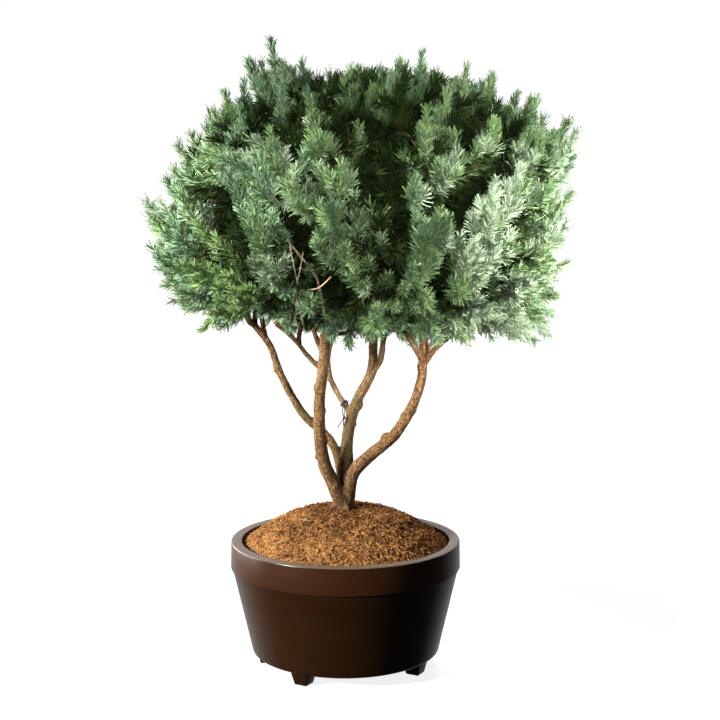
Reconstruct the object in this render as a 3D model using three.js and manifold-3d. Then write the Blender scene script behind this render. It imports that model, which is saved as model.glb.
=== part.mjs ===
// A Scots pine grown as a small tree with four leaning stems, standing in a round brown planter.
// Millimetres, +Z up. Sizes and places below are taken from the planter's axis at floor level.
// The finished group is then shifted so that its origin is the bottom centre of its bounding box.

import * as THREE from 'three';
import { mergeVertices } from 'three/addons/utils/BufferGeometryUtils.js';
import Module from 'manifold-3d';

const wasm = await Module();
wasm.setup();

const UP = new THREE.Vector3(0, 0, 1);
const GOLDEN_ANGLE = Math.PI * (3 - Math.sqrt(5));

// Clearance kept between pieces that meet
const GAP = 0.3;

// Planter
const PLANTER = {
  radius: 400,
  height: 443,
  bandHeight: 93,
  bandFlare: 3,
  bandStep: 6,
  wall: 37,
  bodyRadiusLow: 332,
  lowEdge: 68,
  undersideRadius: 300,
  underside: 38,
  floor: 37,
  rimChamfer: 4,
  segments: 34,
};

// Feet under the planter
const FEET = { bearings: [-120, -30, 30, 120, 183], radius: 290, top: 85, bottom: 58 };

// Mound of soil and fibre mulch that fills the planter
const MOUND = { edgeRadius: 356, edgeDrop: 14, rise: 110, fullness: 1.8, seatRadius: 70, rings: 6 };

// Ground level: the flat cut under the trunk stands on the flat seat on top of the mound
const GROUND = PLANTER.height + MOUND.rise;

// Root flare at the trunk's foot
const FLARE = { x: -10, radius: 47, waist: 38, height: 75, roots: 5, rootLength: 62, rootRadius: 17 };

// Crown envelope: a rounded body, fuller to the right, that the shoots reach
const CROWN = {
  centre: new THREE.Vector3(45, 0, 1640),
  halfWidth: 745,
  halfDepth: 650,
  rise: 450,
  drop: 510,
  plan: 2.2,
  topLeft: 1.6,
  topRight: 2.8,
  bottomLeft: 3.2,
  bottomRight: 6.5,
};

// Leading shoots that stand out of the crown's top and shoulders: where their tips are
const LEADERS = [
  [-251, -70, 2165], [259, -40, 2131], [120, 70, 2090], [497, 0, 2044], [-404, -30, 1995],
  [-60, 240, 2095], [330, 240, 2075], [762, 10, 1905], [-530, 20, 1862], [640, -60, 1968],
  [-688, 0, 1592], [762, 0, 1824], [-40, -650, 1650], [60, 650, 1640],
];

// Tiers of foliage masses: how many, their angle down from the top, the first one's bearing, how steeply
// their stems rise and which share of a full stem they have
const MASS_DEPTH = 0.66;
const TIERS = [
  { name: 'top', count: 1, down: 0, bearing: 0, lift: 1, stem: 1 },
  { name: 'upper', count: 5, down: 42, bearing: 216, lift: 0.9, stem: 1 },
  { name: 'middle', count: 8, down: 78, bearing: 255.7, lift: 0.9, stem: 1 },
  { name: 'lower', count: 8, down: 112, bearing: 278.2, lift: 2.4, stem: 1 },
  { name: 'under', count: 3, down: 150, bearing: 270, lift: 2, stem: 0.5 },
];

// The stem of a mass, its core and the margin to the neighbouring masses
const MASS = { stemLength: 170, tipRadius: 7, margin: 1.5, limbMargin: 7 };

// The core's reach: at most this far, and these shares of the way to its neighbours and to the open air
const CORE = { reach: 175, towardNeighbour: 0.92, towardAir: 0.42 };

// Sprays of needles: their number over the whole crown and the size of one
const SPRAY = {
  count: 184,
  length: 200,
  spikeReach: 56,
  spikeForward: 60,
  coreRadius: 15,
  twigRadius: 5,
  unevenness: 0.09,
  sway: 0.3,
  liftLow: 0.2,
  liftHigh: 1.1,
};

// How a spray is made to fit its space: each try is smaller, nearer its mass's middle and leans more
const FIT = { tries: 9, largest: 1.08, shrink: 0.06, shift: 0.05, lean: 0.12 };

// A gap in the front of the crown through which the inner limbs show
const WINDOW = { at: new THREE.Vector3(-160, -600, 1400), radius: 95 };

// Facets of the limbs, and how early they taper: under 1 they thin fastest near the foot
const LIMB = { stemSides: 8, sides: 7, crownSides: 5, ringSpacing: 125, taper: 0.7 };

// The limbs. Each runs through its points, then on to the mass it carries. Radii are at its two ends.
// The four stems start in the trunk and leave it at the height given by cut.
const STEMS = {
  bough_front: {
    through: [[-14, -2, 568], [-43, -12, 642], [-72, -32, 712], [-88, -50, 820], [-88, -66, 940],
      [-78, -85, 1035], [-68, -115, 1140], [-70, -140, 1330]],
    radii: [27, 11.5], cut: 742, carries: 'upper_1',
  },
  bough_left: {
    through: [[-8, 12, 600], [-20, 33, 690], [-44, 45, 766], [-83, 50, 815], [-142, 45, 868],
      [-224, 25, 1017], [-262, 5, 1125], [-312, -18, 1195]],
    radii: [19, 11], cut: 782, carries: 'lower_7',
  },
  bough_back: {
    through: [[2, 12, 590], [7, 30, 681], [4, 46, 760], [16, 65, 845], [45, 83, 928], [91, 100, 1017],
      [103, 120, 1120], [107, 140, 1200]],
    radii: [24.5, 8], cut: 778, carries: 'upper_4',
  },
  bough_right: {
    through: [[8, 4, 590], [24, 3, 670], [86, -10, 740], [165, -20, 808], [225, -15, 900],
      [262, 5, 1000], [271, 20, 1129], [268, 40, 1220]],
    radii: [27, 7.5], cut: 742, carries: 'upper_3',
  },
};

// Side limbs seen below the crown: at is where they leave their parent, as a height
const SIDE_LIMBS = {
  bough_front_left: {
    parent: 'bough_front', at: 1045, radii: [9.5, 8],
    through: [[-126, -110, 1101], [-152, -135, 1139], [-188, -172, 1184], [-226, -205, 1222]],
    carries: 'lower_8',
  },
  bough_front_side: {
    parent: 'bough_front', at: 1100, radii: [10, 8],
    through: [[-90, -78, 1140], [-106, -48, 1178]],
    carries: 'under_3',
  },
  bough_left_side: {
    parent: 'bough_left', at: 1140, radii: [9, 7.5],
    through: [[-288, 30, 1203], [-290, 62, 1240]],
    carries: 'lower_6',
  },
  bough_back_left: {
    parent: 'bough_back', at: 868, radii: [11.5, 9],
    through: [[-3, 90, 903], [-32, 120, 943], [-58, 155, 1000], [-62, 190, 1080]],
    carries: 'lower_5',
  },
  bough_back_right: {
    parent: 'bough_back', at: 1020, radii: [13, 9],
    through: [[121, 80, 1065], [127, 68, 1124], [131, 60, 1200]],
    carries: 'top',
  },
  bough_right_left: {
    parent: 'bough_right', at: 1060, radii: [11.5, 8],
    through: [[242, -20, 1115], [208, -60, 1169]],
    carries: 'lower_1',
  },
  bough_right_outer: {
    parent: 'bough_right', at: 1050, radii: [12, 8.5],
    through: [[298, -10, 1099], [333, -40, 1140], [364, -76, 1170]],
    carries: 'lower_2',
  },
  bough_right_back: {
    parent: 'bough_right', at: 1078, radii: [10.5, 8],
    through: [[289, 50, 1112], [317, 100, 1140]],
    carries: 'lower_4',
  },
};

// Limbs inside the crown, each swinging from its parent out to the mass it carries
const CROWN_LIMBS = {
  limb_front: { parent: 'bough_front_left', at: 1140, radius: 8, carries: 'middle_1' },
  limb_upper_front: { parent: 'bough_front', at: 1500, radius: 9.5, carries: 'upper_2' },
  limb_left_front: { parent: 'bough_front', at: 1300, radius: 10, carries: 'middle_8' },
  limb_left: { parent: 'bough_left', at: 1190, radius: 9.5, carries: 'middle_7' },
  limb_back_left: { parent: 'bough_back_left', at: 1180, radius: 9, carries: 'middle_6' },
  limb_upper_back: { parent: 'bough_back', at: 1420, radius: 9, carries: 'upper_5' },
  limb_back: { parent: 'bough_back', at: 1300, radius: 9.5, carries: 'middle_5' },
  limb_right_back: { parent: 'bough_right', at: 1330, radius: 9.5, carries: 'middle_4' },
  limb_right: { parent: 'bough_right', at: 1250, radius: 9.5, carries: 'middle_3' },
  limb_front_right: { parent: 'bough_right_left', at: 1200, radius: 8, carries: 'middle_2' },
  limb_low_right: { parent: 'bough_right_back', at: 1150, radius: 8, carries: 'lower_3' },
  limb_under_front: { parent: 'bough_front', at: 1160, radius: 8, carries: 'under_1' },
  limb_under_back: { parent: 'bough_right', at: 1150, radius: 8, carries: 'under_2' },
};

// Materials
const BARK = new THREE.MeshStandardMaterial({ color: 0xa9764a, roughness: 0.9, metalness: 0 });
const NEEDLES = new THREE.MeshStandardMaterial({ color: 0x5c8a68, roughness: 0.6, metalness: 0 });
const PLANTER_BROWN = new THREE.MeshStandardMaterial({ color: 0x4a2c18, roughness: 0.4, metalness: 0 });
const MULCH = new THREE.MeshStandardMaterial({ color: 0x9a6a35, roughness: 1, metalness: 0 });

const model = new THREE.Group();

function addMesh(name, geometry, material) {
  const mesh = new THREE.Mesh(geometry, material);
  mesh.name = name;
  model.add(mesh);
  return mesh;
}

// Closed geometry and solids for joining and cutting

function closedGeometry(geometry) {
  const bare = geometry.clone();
  bare.deleteAttribute('normal');
  bare.deleteAttribute('uv');
  return mergeVertices(bare, 1e-4);
}

function toSolid(geometry) {
  const closed = closedGeometry(geometry);
  return new wasm.Manifold(new wasm.Mesh({
    numProp: 3,
    vertProperties: new Float32Array(closed.attributes.position.array),
    triVerts: new Uint32Array(closed.index.array),
  }));
}

function toGeometry(solid) {
  const mesh = solid.getMesh();
  const geometry = new THREE.BufferGeometry();
  geometry.setAttribute('position', new THREE.BufferAttribute(mesh.vertProperties, 3));
  geometry.setIndex(new THREE.BufferAttribute(mesh.triVerts, 1));
  return geometry;
}

function largestPiece(solid) {
  const pieces = solid.decompose();
  return pieces.reduce((best, piece) => (piece.volume() > best.volume() ? piece : best));
}

// Repeatable random numbers from a whole-number seed
function seeded(seed) {
  let state = seed >>> 0;
  return () => {
    state = (state + 0x6d2b79f5) >>> 0;
    let mixed = Math.imul(state ^ (state >>> 15), state | 1);
    mixed ^= mixed + Math.imul(mixed ^ (mixed >>> 7), mixed | 61);
    return ((mixed ^ (mixed >>> 14)) >>> 0) / 4294967296;
  };
}

// Planter, its feet and the mound in it

function lathe(profile) {
  const outline = profile.map(([radius, height]) => new THREE.Vector2(radius, height));
  return new THREE.LatheGeometry(outline, PLANTER.segments).rotateX(Math.PI / 2);
}

function cavityRadius(height) {
  const bandFoot = PLANTER.height - PLANTER.bandHeight;
  const inner = PLANTER.radius - PLANTER.wall;
  const low = PLANTER.underside + PLANTER.floor;
  const share = Math.min(1, (height - low) / (bandFoot - low));
  return THREE.MathUtils.lerp(PLANTER.bodyRadiusLow - PLANTER.wall, inner, share);
}

function makePlanter() {
  const bandFoot = PLANTER.height - PLANTER.bandHeight;
  const inner = PLANTER.radius - PLANTER.wall;
  const cavityFloor = PLANTER.underside + PLANTER.floor;
  const bandRadius = PLANTER.radius + PLANTER.bandFlare;
  return lathe([
    [0, PLANTER.underside],
    [PLANTER.undersideRadius, PLANTER.underside],
    [PLANTER.bodyRadiusLow - 8, PLANTER.underside + 12],
    [PLANTER.bodyRadiusLow, PLANTER.lowEdge],
    [bandRadius - PLANTER.bandStep, bandFoot],
    [bandRadius, bandFoot],
    [PLANTER.radius, PLANTER.height - PLANTER.rimChamfer],
    [PLANTER.radius - PLANTER.rimChamfer, PLANTER.height],
    [inner + PLANTER.rimChamfer, PLANTER.height],
    [inner, PLANTER.height - PLANTER.rimChamfer],
    [inner, bandFoot],
    [cavityRadius(cavityFloor), cavityFloor],
    [0, cavityFloor],
  ]);
}

function moundHeight(radius) {
  const low = PLANTER.height - MOUND.edgeDrop;
  const share = Math.max(0, radius - MOUND.seatRadius) / (MOUND.edgeRadius - MOUND.seatRadius);
  return low + (GROUND - low) * (1 - share ** MOUND.fullness);
}

function makeMound() {
  const bottom = PLANTER.underside + PLANTER.floor + GAP;
  const bandFoot = PLANTER.height - PLANTER.bandHeight;
  const edge = PLANTER.height - MOUND.edgeDrop;
  const clear = GAP + 0.1;
  const profile = [
    [0, bottom],
    [cavityRadius(bottom) - clear, bottom],
    [cavityRadius(bandFoot) - clear, bandFoot],
    [cavityRadius(bandFoot) - clear, edge - MOUND.edgeDrop],
  ];
  for (let ring = 0; ring <= MOUND.rings; ring += 1) {
    const share = Math.cos((ring / MOUND.rings) * Math.PI / 2);
    const radius = MOUND.seatRadius + (MOUND.edgeRadius - MOUND.seatRadius) * share;
    profile.push([radius, moundHeight(radius)]);
  }
  profile.push([0, GROUND]);
  return lathe(profile);
}

function addFeet() {
  const height = PLANTER.underside - GAP;
  FEET.bearings.forEach((degrees, foot) => {
    const bearing = THREE.MathUtils.degToRad(degrees);
    const [top, bottom] = [FEET.top * Math.SQRT1_2, FEET.bottom * Math.SQRT1_2];
    const block = new THREE.CylinderGeometry(top, bottom, height, 4);
    block.rotateX(Math.PI / 2).rotateZ(Math.PI / 4);
    const mesh = addMesh(`planter_foot_${foot + 1}`, block, PLANTER_BROWN);
    mesh.rotation.z = bearing;
    mesh.position.set(FEET.radius * Math.cos(bearing), FEET.radius * Math.sin(bearing), height / 2);
  });
}

// Crown envelope and the places of the masses in it

function crownReach(direction) {
  const level = Math.hypot(direction.x, direction.y);
  const right = level > 0 ? (1 + direction.x / level) / 2 : 0.5;
  const planX = Math.abs(direction.x) / CROWN.halfWidth;
  const planY = Math.abs(direction.y) / CROWN.halfDepth;
  const outward = (planX ** CROWN.plan + planY ** CROWN.plan) ** (1 / CROWN.plan);
  const rising = direction.z > 0;
  const upward = Math.abs(direction.z) / (rising ? CROWN.rise : CROWN.drop);
  const leftPower = rising ? CROWN.topLeft : CROWN.bottomLeft;
  const rightPower = rising ? CROWN.topRight : CROWN.bottomRight;
  const power = THREE.MathUtils.lerp(leftPower, rightPower, right);
  return (outward ** power + upward ** power) ** (-1 / power);
}

function fromAngles(bearing, down) {
  const theta = THREE.MathUtils.degToRad(bearing);
  const phi = THREE.MathUtils.degToRad(down);
  const level = Math.sin(phi);
  return new THREE.Vector3(level * Math.cos(theta), level * Math.sin(theta), Math.cos(phi));
}

function placeMasses() {
  const masses = [];
  for (const tier of TIERS) {
    for (let index = 0; index < tier.count; index += 1) {
      const bearing = tier.bearing + (360 / tier.count) * index;
      const outward = fromAngles(bearing, tier.down);
      const centre = outward.clone().multiplyScalar(crownReach(outward) * MASS_DEPTH).add(CROWN.centre);
      const level = outward.clone().setZ(0);
      const heading = level.addScaledVector(UP, tier.lift).normalize();
      const name = tier.count > 1 ? `${tier.name}_${index + 1}` : tier.name;
      masses.push({ name, outward, centre, heading, stemShare: tier.stem });
    }
  }
  return masses;
}

const masses = placeMasses();

// How far a point lies inside a mass's own space, which ends midway to each neighbour
function roomAt(point, mass) {
  let room = Infinity;
  for (const other of masses) {
    if (other === mass) {
      continue;
    }
    const across = other.centre.clone().sub(mass.centre);
    const middle = mass.centre.clone().add(other.centre).multiplyScalar(0.5);
    room = Math.min(room, middle.sub(point).dot(across) / across.length());
  }
  return room;
}

function massEntry(mass) {
  const entry = new THREE.Vector3();
  for (let share = mass.stemShare; share > 0.3; share -= 0.1) {
    entry.copy(mass.centre).addScaledVector(mass.heading, -MASS.stemLength * share);
    if (roomAt(entry, mass) > MASS.tipRadius + MASS.margin) {
      break;
    }
  }
  return entry;
}

for (const mass of masses) {
  mass.entry = massEntry(mass);
}

function massNamed(name) {
  return masses.find((mass) => mass.name === name);
}

// Limbs: a tapering tube bent along a curve

function bentTube(curve, from, to, radiusAt, sides, rings) {
  const tube = new THREE.CylinderGeometry(1, 1, 1, sides, rings);
  const steps = 200;
  const frames = curve.computeFrenetFrames(steps, false);
  const position = tube.attributes.position;
  const point = new THREE.Vector3();
  for (let index = 0; index < position.count; index += 1) {
    point.fromBufferAttribute(position, index);
    const along = THREE.MathUtils.lerp(from, to, point.y + 0.5);
    const frame = Math.min(steps - 1, Math.floor(along * steps));
    const between = along * steps - frame;
    const normal = frames.normals[frame].clone().lerp(frames.normals[frame + 1], between).normalize();
    const binormal = frames.binormals[frame].clone().lerp(frames.binormals[frame + 1], between).normalize();
    const reach = radiusAt(along);
    const placed = curve.getPointAt(along);
    placed.addScaledVector(normal, -point.x * reach).addScaledVector(binormal, point.z * reach);
    position.setXYZ(index, placed.x, placed.y, placed.z);
  }
  return tube;
}

function shareAtHeight(curve, height) {
  const steps = 400;
  for (let step = 0; step <= steps; step += 1) {
    if (curve.getPointAt(step / steps).z >= height) {
      return step / steps;
    }
  }
  return 1;
}

function throughPoints(points, mass) {
  const stops = points.map((point) => new THREE.Vector3(...point));
  const run = (MASS.stemLength / 2) * mass.stemShare;
  stops.push(mass.entry.clone().addScaledVector(mass.heading, -run));
  stops.push(mass.entry);
  return new THREE.CatmullRomCurve3(stops, false, 'centripetal');
}

const limbs = {};

function addLimb(name, curve, radii, sides, parent) {
  const radiusAt = (share) => THREE.MathUtils.lerp(radii[0], radii[1], share ** LIMB.taper);
  limbs[name] = { name, curve, radiusAt, sides, parent, length: curve.getLength() };
}

function layOutLimbs() {
  for (const [name, stem] of Object.entries(STEMS)) {
    addLimb(name, throughPoints(stem.through, massNamed(stem.carries)), stem.radii, LIMB.stemSides, null);
    limbs[name].cut = shareAtHeight(limbs[name].curve, stem.cut);
  }
  for (const [name, limb] of Object.entries(SIDE_LIMBS)) {
    const parent = limbs[limb.parent];
    const start = parent.curve.getPointAt(shareAtHeight(parent.curve, limb.at));
    const mass = massNamed(limb.carries);
    addLimb(name, throughPoints([start.toArray(), ...limb.through], mass), limb.radii, LIMB.sides, parent);
  }
  for (const [name, limb] of Object.entries(CROWN_LIMBS)) {
    const parent = limbs[limb.parent];
    const share = shareAtHeight(parent.curve, limb.at);
    const start = parent.curve.getPointAt(share);
    const mass = massNamed(limb.carries);
    const swing = start.distanceTo(mass.entry) * 0.4;
    const toward = mass.entry.clone().sub(start).normalize();
    const leaving = toward.add(parent.curve.getTangentAt(share)).setLength(swing * 0.6).add(start);
    const arriving = mass.entry.clone().addScaledVector(mass.heading, -swing);
    const curve = new THREE.CubicBezierCurve3(start, leaving, arriving, mass.entry);
    addLimb(name, curve, [limb.radius, MASS.tipRadius], LIMB.crownSides, parent);
  }
}

layOutLimbs();

// A limb's own solid, or one that much thicker for cutting its neighbours clear of it
function limbSolid(limb, extra = 0) {
  const from = limb.parent ? 0 : limb.cut + GAP / 2 / limb.length;
  const rings = Math.max(3, Math.round((limb.length * (1 - from)) / LIMB.ringSpacing));
  return toSolid(bentTube(limb.curve, from, 1, (share) => limb.radiusAt(share) + extra, limb.sides, rings));
}

// Trunk: the joined feet of the four stems, flared into roots and cut flat at ground level
function makeTrunk() {
  const foot = new THREE.Vector3(FLARE.x, 0, GROUND - 20);
  const waist = new THREE.Vector3(FLARE.x + 5, 5, GROUND + FLARE.height);
  const flareRadius = (share) => THREE.MathUtils.lerp(FLARE.radius, FLARE.waist, share ** 0.6);
  let trunk = toSolid(bentTube(new THREE.LineCurve3(foot, waist), 0, 1, flareRadius, 10, 3));
  for (const name of Object.keys(STEMS)) {
    const limb = limbs[name];
    const to = limb.cut - GAP / 2 / limb.length;
    trunk = trunk.add(toSolid(bentTube(limb.curve, 0, to, limb.radiusAt, LIMB.stemSides, 3)));
  }
  for (let root = 0; root < FLARE.roots; root += 1) {
    const bearing = root * GOLDEN_ANGLE + 0.4;
    const heel = new THREE.Vector3(FLARE.x, 0, GROUND + FLARE.height * 0.45);
    const toe = new THREE.Vector3(Math.cos(bearing), Math.sin(bearing), 0).multiplyScalar(FLARE.rootLength);
    toe.add(new THREE.Vector3(FLARE.x, 0, GROUND - 6));
    const rootRadius = (share) => FLARE.rootRadius * (1 - 0.5 * share);
    trunk = trunk.add(toSolid(bentTube(new THREE.LineCurve3(heel, toe), 0, 1, rootRadius, 6, 1)));
  }
  const below = new THREE.BoxGeometry(400, 400, 100).translate(0, 0, GROUND + GAP - 50);
  return trunk.subtract(toSolid(below));
}

// A stem above its cut, or a side limb whose heel is cut to fit its parent and the limbs beside it
function makeLimb(limb, fitted) {
  let solid = limbSolid(limb);
  if (!limb.parent) {
    return solid;
  }
  const clearance = GAP + 0.2;
  const beside = fitted.filter((other) => other === limb.parent || other.parent === limb.parent);
  for (const other of beside) {
    solid = solid.subtract(limbSolid(other, clearance));
  }
  return largestPiece(solid);
}

function addLimbs() {
  const fitted = [];
  for (const limb of Object.values(limbs)) {
    addMesh(limb.name, toGeometry(makeLimb(limb, fitted)), BARK);
    fitted.push(limb);
  }
}

// Points along every limb, for keeping twigs and needles off them
function limbBeads() {
  const spacing = 10;
  const beads = [];
  for (const limb of Object.values(limbs)) {
    const count = Math.ceil(limb.length / spacing);
    for (let index = 0; index <= count; index += 1) {
      beads.push({ at: limb.curve.getPointAt(index / count), radius: limb.radiusAt(index / count) });
    }
  }
  return beads;
}

const beads = limbBeads();

function touchesLimb(point, thickness) {
  return beads.some((bead) => bead.at.distanceTo(point) < bead.radius + thickness + MASS.limbMargin);
}

// The stem of a mass: it carries on from the tip of its bough, 0.3 mm clear, to the middle of the mass
function stemOf(mass) {
  const length = mass.entry.distanceTo(mass.centre);
  const start = mass.entry.clone().addScaledVector(mass.heading, GAP);
  const bend = start.clone().addScaledVector(mass.heading, length * 0.5);
  return new THREE.QuadraticBezierCurve3(start, bend, mass.centre);
}

// A spray: a slim core that narrows to its root and its tip, with two rows of three spikes on it
function sprayShape(root, base, axis, size, turn) {
  const points = [root];
  const faces = [];
  const spikes = [];
  const length = SPRAY.length * size;
  const level = Math.abs(axis.z) < 0.9 ? UP : new THREE.Vector3(1, 0, 0);
  const side = new THREE.Vector3().crossVectors(axis, level).normalize();
  const cross = new THREE.Vector3().crossVectors(axis, side);
  const around = (angle) => (
    side.clone().multiplyScalar(Math.cos(angle)).addScaledVector(cross, Math.sin(angle)));
  const rings = [
    { along: 0, radius: SPRAY.twigRadius },
    { along: 0.36, radius: SPRAY.coreRadius },
    { along: 0.7, radius: SPRAY.coreRadius * 0.8 },
  ];
  const third = (2 * Math.PI) / 3;
  rings.forEach((ring, row) => {
    for (let corner = 0; corner < 3; corner += 1) {
      const point = base.clone().addScaledVector(axis, length * ring.along);
      point.addScaledVector(around(turn + row * third / 2 + corner * third), ring.radius * size);
      points.push(point);
    }
  });
  const tip = points.push(base.clone().addScaledVector(axis, length)) - 1;
  for (let corner = 0; corner < 3; corner += 1) {
    const next = (corner + 1) % 3;
    faces.push([0, 1 + next, 1 + corner], [7 + corner, 7 + next, tip]);
    for (const row of [0, 1]) {
      const [low, lowNext] = [1 + row * 3 + corner, 1 + row * 3 + next];
      const [high, highNext] = [low + 3, lowNext + 3];
      const foot = points[lowNext].clone().add(points[highNext]).add(points[high]).multiplyScalar(1 / 3);
      const spike = foot.clone().addScaledVector(axis, SPRAY.spikeForward * size);
      spike.addScaledVector(around(turn + row * third / 2 + (corner + 1) * third), SPRAY.spikeReach * size);
      const apex = points.push(spike) - 1;
      spikes.push([spike, foot]);
      faces.push([low, lowNext, high], [lowNext, highNext, apex]);
      faces.push([highNext, high, apex], [high, lowNext, apex]);
    }
  }
  return { points, faces, spikes, root, base, tip: points[tip] };
}

function sprayFits(shape, mass) {
  if (shape.points.some((point) => roomAt(point, mass) < MASS.margin)) {
    return false;
  }
  for (const [apex, foot] of shape.spikes) {
    const midway = apex.clone().add(foot).multiplyScalar(0.5);
    if (touchesLimb(apex, 0) || touchesLimb(midway, SPRAY.coreRadius * 0.7)) {
      return false;
    }
  }
  for (let step = 0; step <= 8; step += 1) {
    const onTwig = shape.root.clone().lerp(shape.base, step / 8);
    const onCore = shape.base.clone().lerp(shape.tip, step / 8);
    if (touchesLimb(onTwig, SPRAY.twigRadius) || touchesLimb(onCore, SPRAY.coreRadius)) {
      return false;
    }
  }
  return true;
}

// Shoots face away from the crown and turn upwards, more so towards its top
function sprayAxis(tip) {
  const out = tip.clone().sub(CROWN.centre);
  const height = out.z > 0 ? CROWN.rise : CROWN.drop;
  const normal = new THREE.Vector3(
    out.x / CROWN.halfWidth ** 2,
    out.y / CROWN.halfDepth ** 2,
    out.z / height ** 2,
  );
  const lift = THREE.MathUtils.clamp((out.z + CROWN.drop) / (CROWN.rise + CROWN.drop), 0, 1);
  const turnUp = THREE.MathUtils.lerp(SPRAY.liftLow, SPRAY.liftHigh, lift);
  return normal.normalize().addScaledVector(UP, turnUp).normalize();
}

// Tips of the shoots: an even spiral over the envelope, some a little short of it, and the leaders
function shootTips(random) {
  const tips = [];
  for (let index = 0; index < SPRAY.count; index += 1) {
    const height = 1 - (2 * (index + 0.5)) / SPRAY.count;
    const level = Math.sqrt(1 - height * height);
    const bearing = index * GOLDEN_ANGLE;
    const direction = new THREE.Vector3(
      Math.sqrt(CROWN.halfWidth) * level * Math.cos(bearing),
      Math.sqrt(CROWN.halfDepth) * level * Math.sin(bearing),
      Math.sqrt(height > 0 ? CROWN.rise : CROWN.drop) * height,
    ).normalize();
    const reach = crownReach(direction) * (1 - SPRAY.unevenness * random());
    tips.push(direction.multiplyScalar(reach).add(CROWN.centre));
  }
  return tips.concat(LEADERS.map((leader) => new THREE.Vector3(...leader)));
}

function nearestMass(point) {
  return masses.reduce((best, other) => (
    other.centre.distanceTo(point) < best.centre.distanceTo(point) ? other : best));
}

// One spray at each tip, leaning and shrinking until it fits, and left out where it can't
function growSprays() {
  const random = seeded(20);
  const sprays = [];
  for (const tip of shootTips(random)) {
    const sway = new THREE.Vector3(random() - 0.5, random() - 0.5, 0).multiplyScalar(SPRAY.sway);
    const rootShare = 0.5 + 0.5 * random();
    const turn = random() * Math.PI * 2;
    const axis = sprayAxis(tip).add(sway).normalize();
    const middle = tip.clone().addScaledVector(axis, -SPRAY.length / 2);
    if (middle.distanceTo(WINDOW.at) < WINDOW.radius) {
      continue;
    }
    const mass = nearestMass(middle);
    const root = mass.stem.getPoint(rootShare);
    const outer = mass.outward.clone().multiplyScalar(tip.distanceTo(mass.centre)).add(mass.centre);
    for (let attempt = 0; attempt < FIT.tries; attempt += 1) {
      const size = FIT.largest - FIT.shrink * attempt;
      const moved = tip.clone().lerp(outer, FIT.shift * attempt);
      const leaning = moved.clone().sub(mass.centre).setLength(FIT.lean * attempt);
      const leant = leaning.add(axis).normalize();
      const base = moved.clone().addScaledVector(leant, -SPRAY.length * size);
      const shape = sprayShape(root, base, leant, size, turn);
      if (sprayFits(shape, mass)) {
        sprays.push({ mass, shape });
        break;
      }
    }
  }
  return sprays;
}

function polyhedron(shape) {
  const geometry = new THREE.BufferGeometry();
  const numbers = shape.points.flatMap((point) => point.toArray());
  geometry.setAttribute('position', new THREE.Float32BufferAttribute(numbers, 3));
  geometry.setIndex(shape.faces.flat());
  return geometry;
}

// How far it is from a mass's middle, one way, to the end of its space and to the crown's surface
function distanceToNeighbour(mass, way) {
  let distance = Infinity;
  for (const other of masses) {
    const across = other.centre.clone().sub(mass.centre);
    const toward = across.dot(way);
    if (other !== mass && toward > 0) {
      distance = Math.min(distance, across.lengthSq() / 2 / toward);
    }
  }
  return distance;
}

function distanceToAir(mass, way) {
  const stride = 10;
  const offset = mass.centre.clone().sub(CROWN.centre);
  let distance = 0;
  while (offset.length() < crownReach(offset.clone().normalize())) {
    offset.addScaledVector(way, stride);
    distance += stride;
  }
  return distance;
}

// The dense middle of a mass, smaller than its space and cut clear of every limb that passes
function coreOf(mass) {
  const core = closedGeometry(new THREE.IcosahedronGeometry(1, 0));
  const corners = core.attributes.position;
  const way = new THREE.Vector3();
  for (let index = 0; index < corners.count; index += 1) {
    way.fromBufferAttribute(corners, index).normalize();
    const toNeighbour = distanceToNeighbour(mass, way) * CORE.towardNeighbour;
    const toAir = distanceToAir(mass, way) * CORE.towardAir;
    way.multiplyScalar(Math.min(CORE.reach, toNeighbour, toAir)).add(mass.centre);
    corners.setXYZ(index, way.x, way.y, way.z);
  }
  let solid = toSolid(core);
  for (const limb of Object.values(limbs)) {
    solid = solid.subtract(limbSolid(limb, MASS.margin));
  }
  return largestPiece(solid);
}

function makeMass(mass, sprays) {
  const stem = bentTube(mass.stem, 0, 1, () => MASS.tipRadius, 6, 2);
  let solid = coreOf(mass).add(toSolid(stem));
  for (const spray of sprays) {
    solid = solid.add(toSolid(polyhedron(spray.shape)));
  }
  return largestPiece(solid);
}

function addMasses() {
  for (const mass of masses) {
    mass.stem = stemOf(mass);
  }
  const sprays = growSprays();
  for (const mass of masses) {
    const own = sprays.filter((spray) => spray.mass === mass);
    addMesh(`needles_${mass.name}`, toGeometry(makeMass(mass, own)), NEEDLES);
  }
}

addMesh('planter', makePlanter(), PLANTER_BROWN);
addFeet();
addMesh('mulch_mound', makeMound(), MULCH);
addMesh('trunk', toGeometry(makeTrunk()), BARK);
addLimbs();
addMasses();

// The origin moves to the bottom centre of the whole
const bounds = new THREE.Box3().setFromObject(model);
const middle = bounds.getCenter(new THREE.Vector3());
model.position.set(-middle.x, -middle.y, -bounds.min.z);

export default model;
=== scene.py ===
# A Scots pine grown as a small tree with four leaning stems, standing in a round brown planter.
# Metres, +Z up. Shapes are worked out from the planter's axis at floor level, as the solids are.

import math

import bmesh
import bpy
import numpy as np
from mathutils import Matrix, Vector, noise


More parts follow.
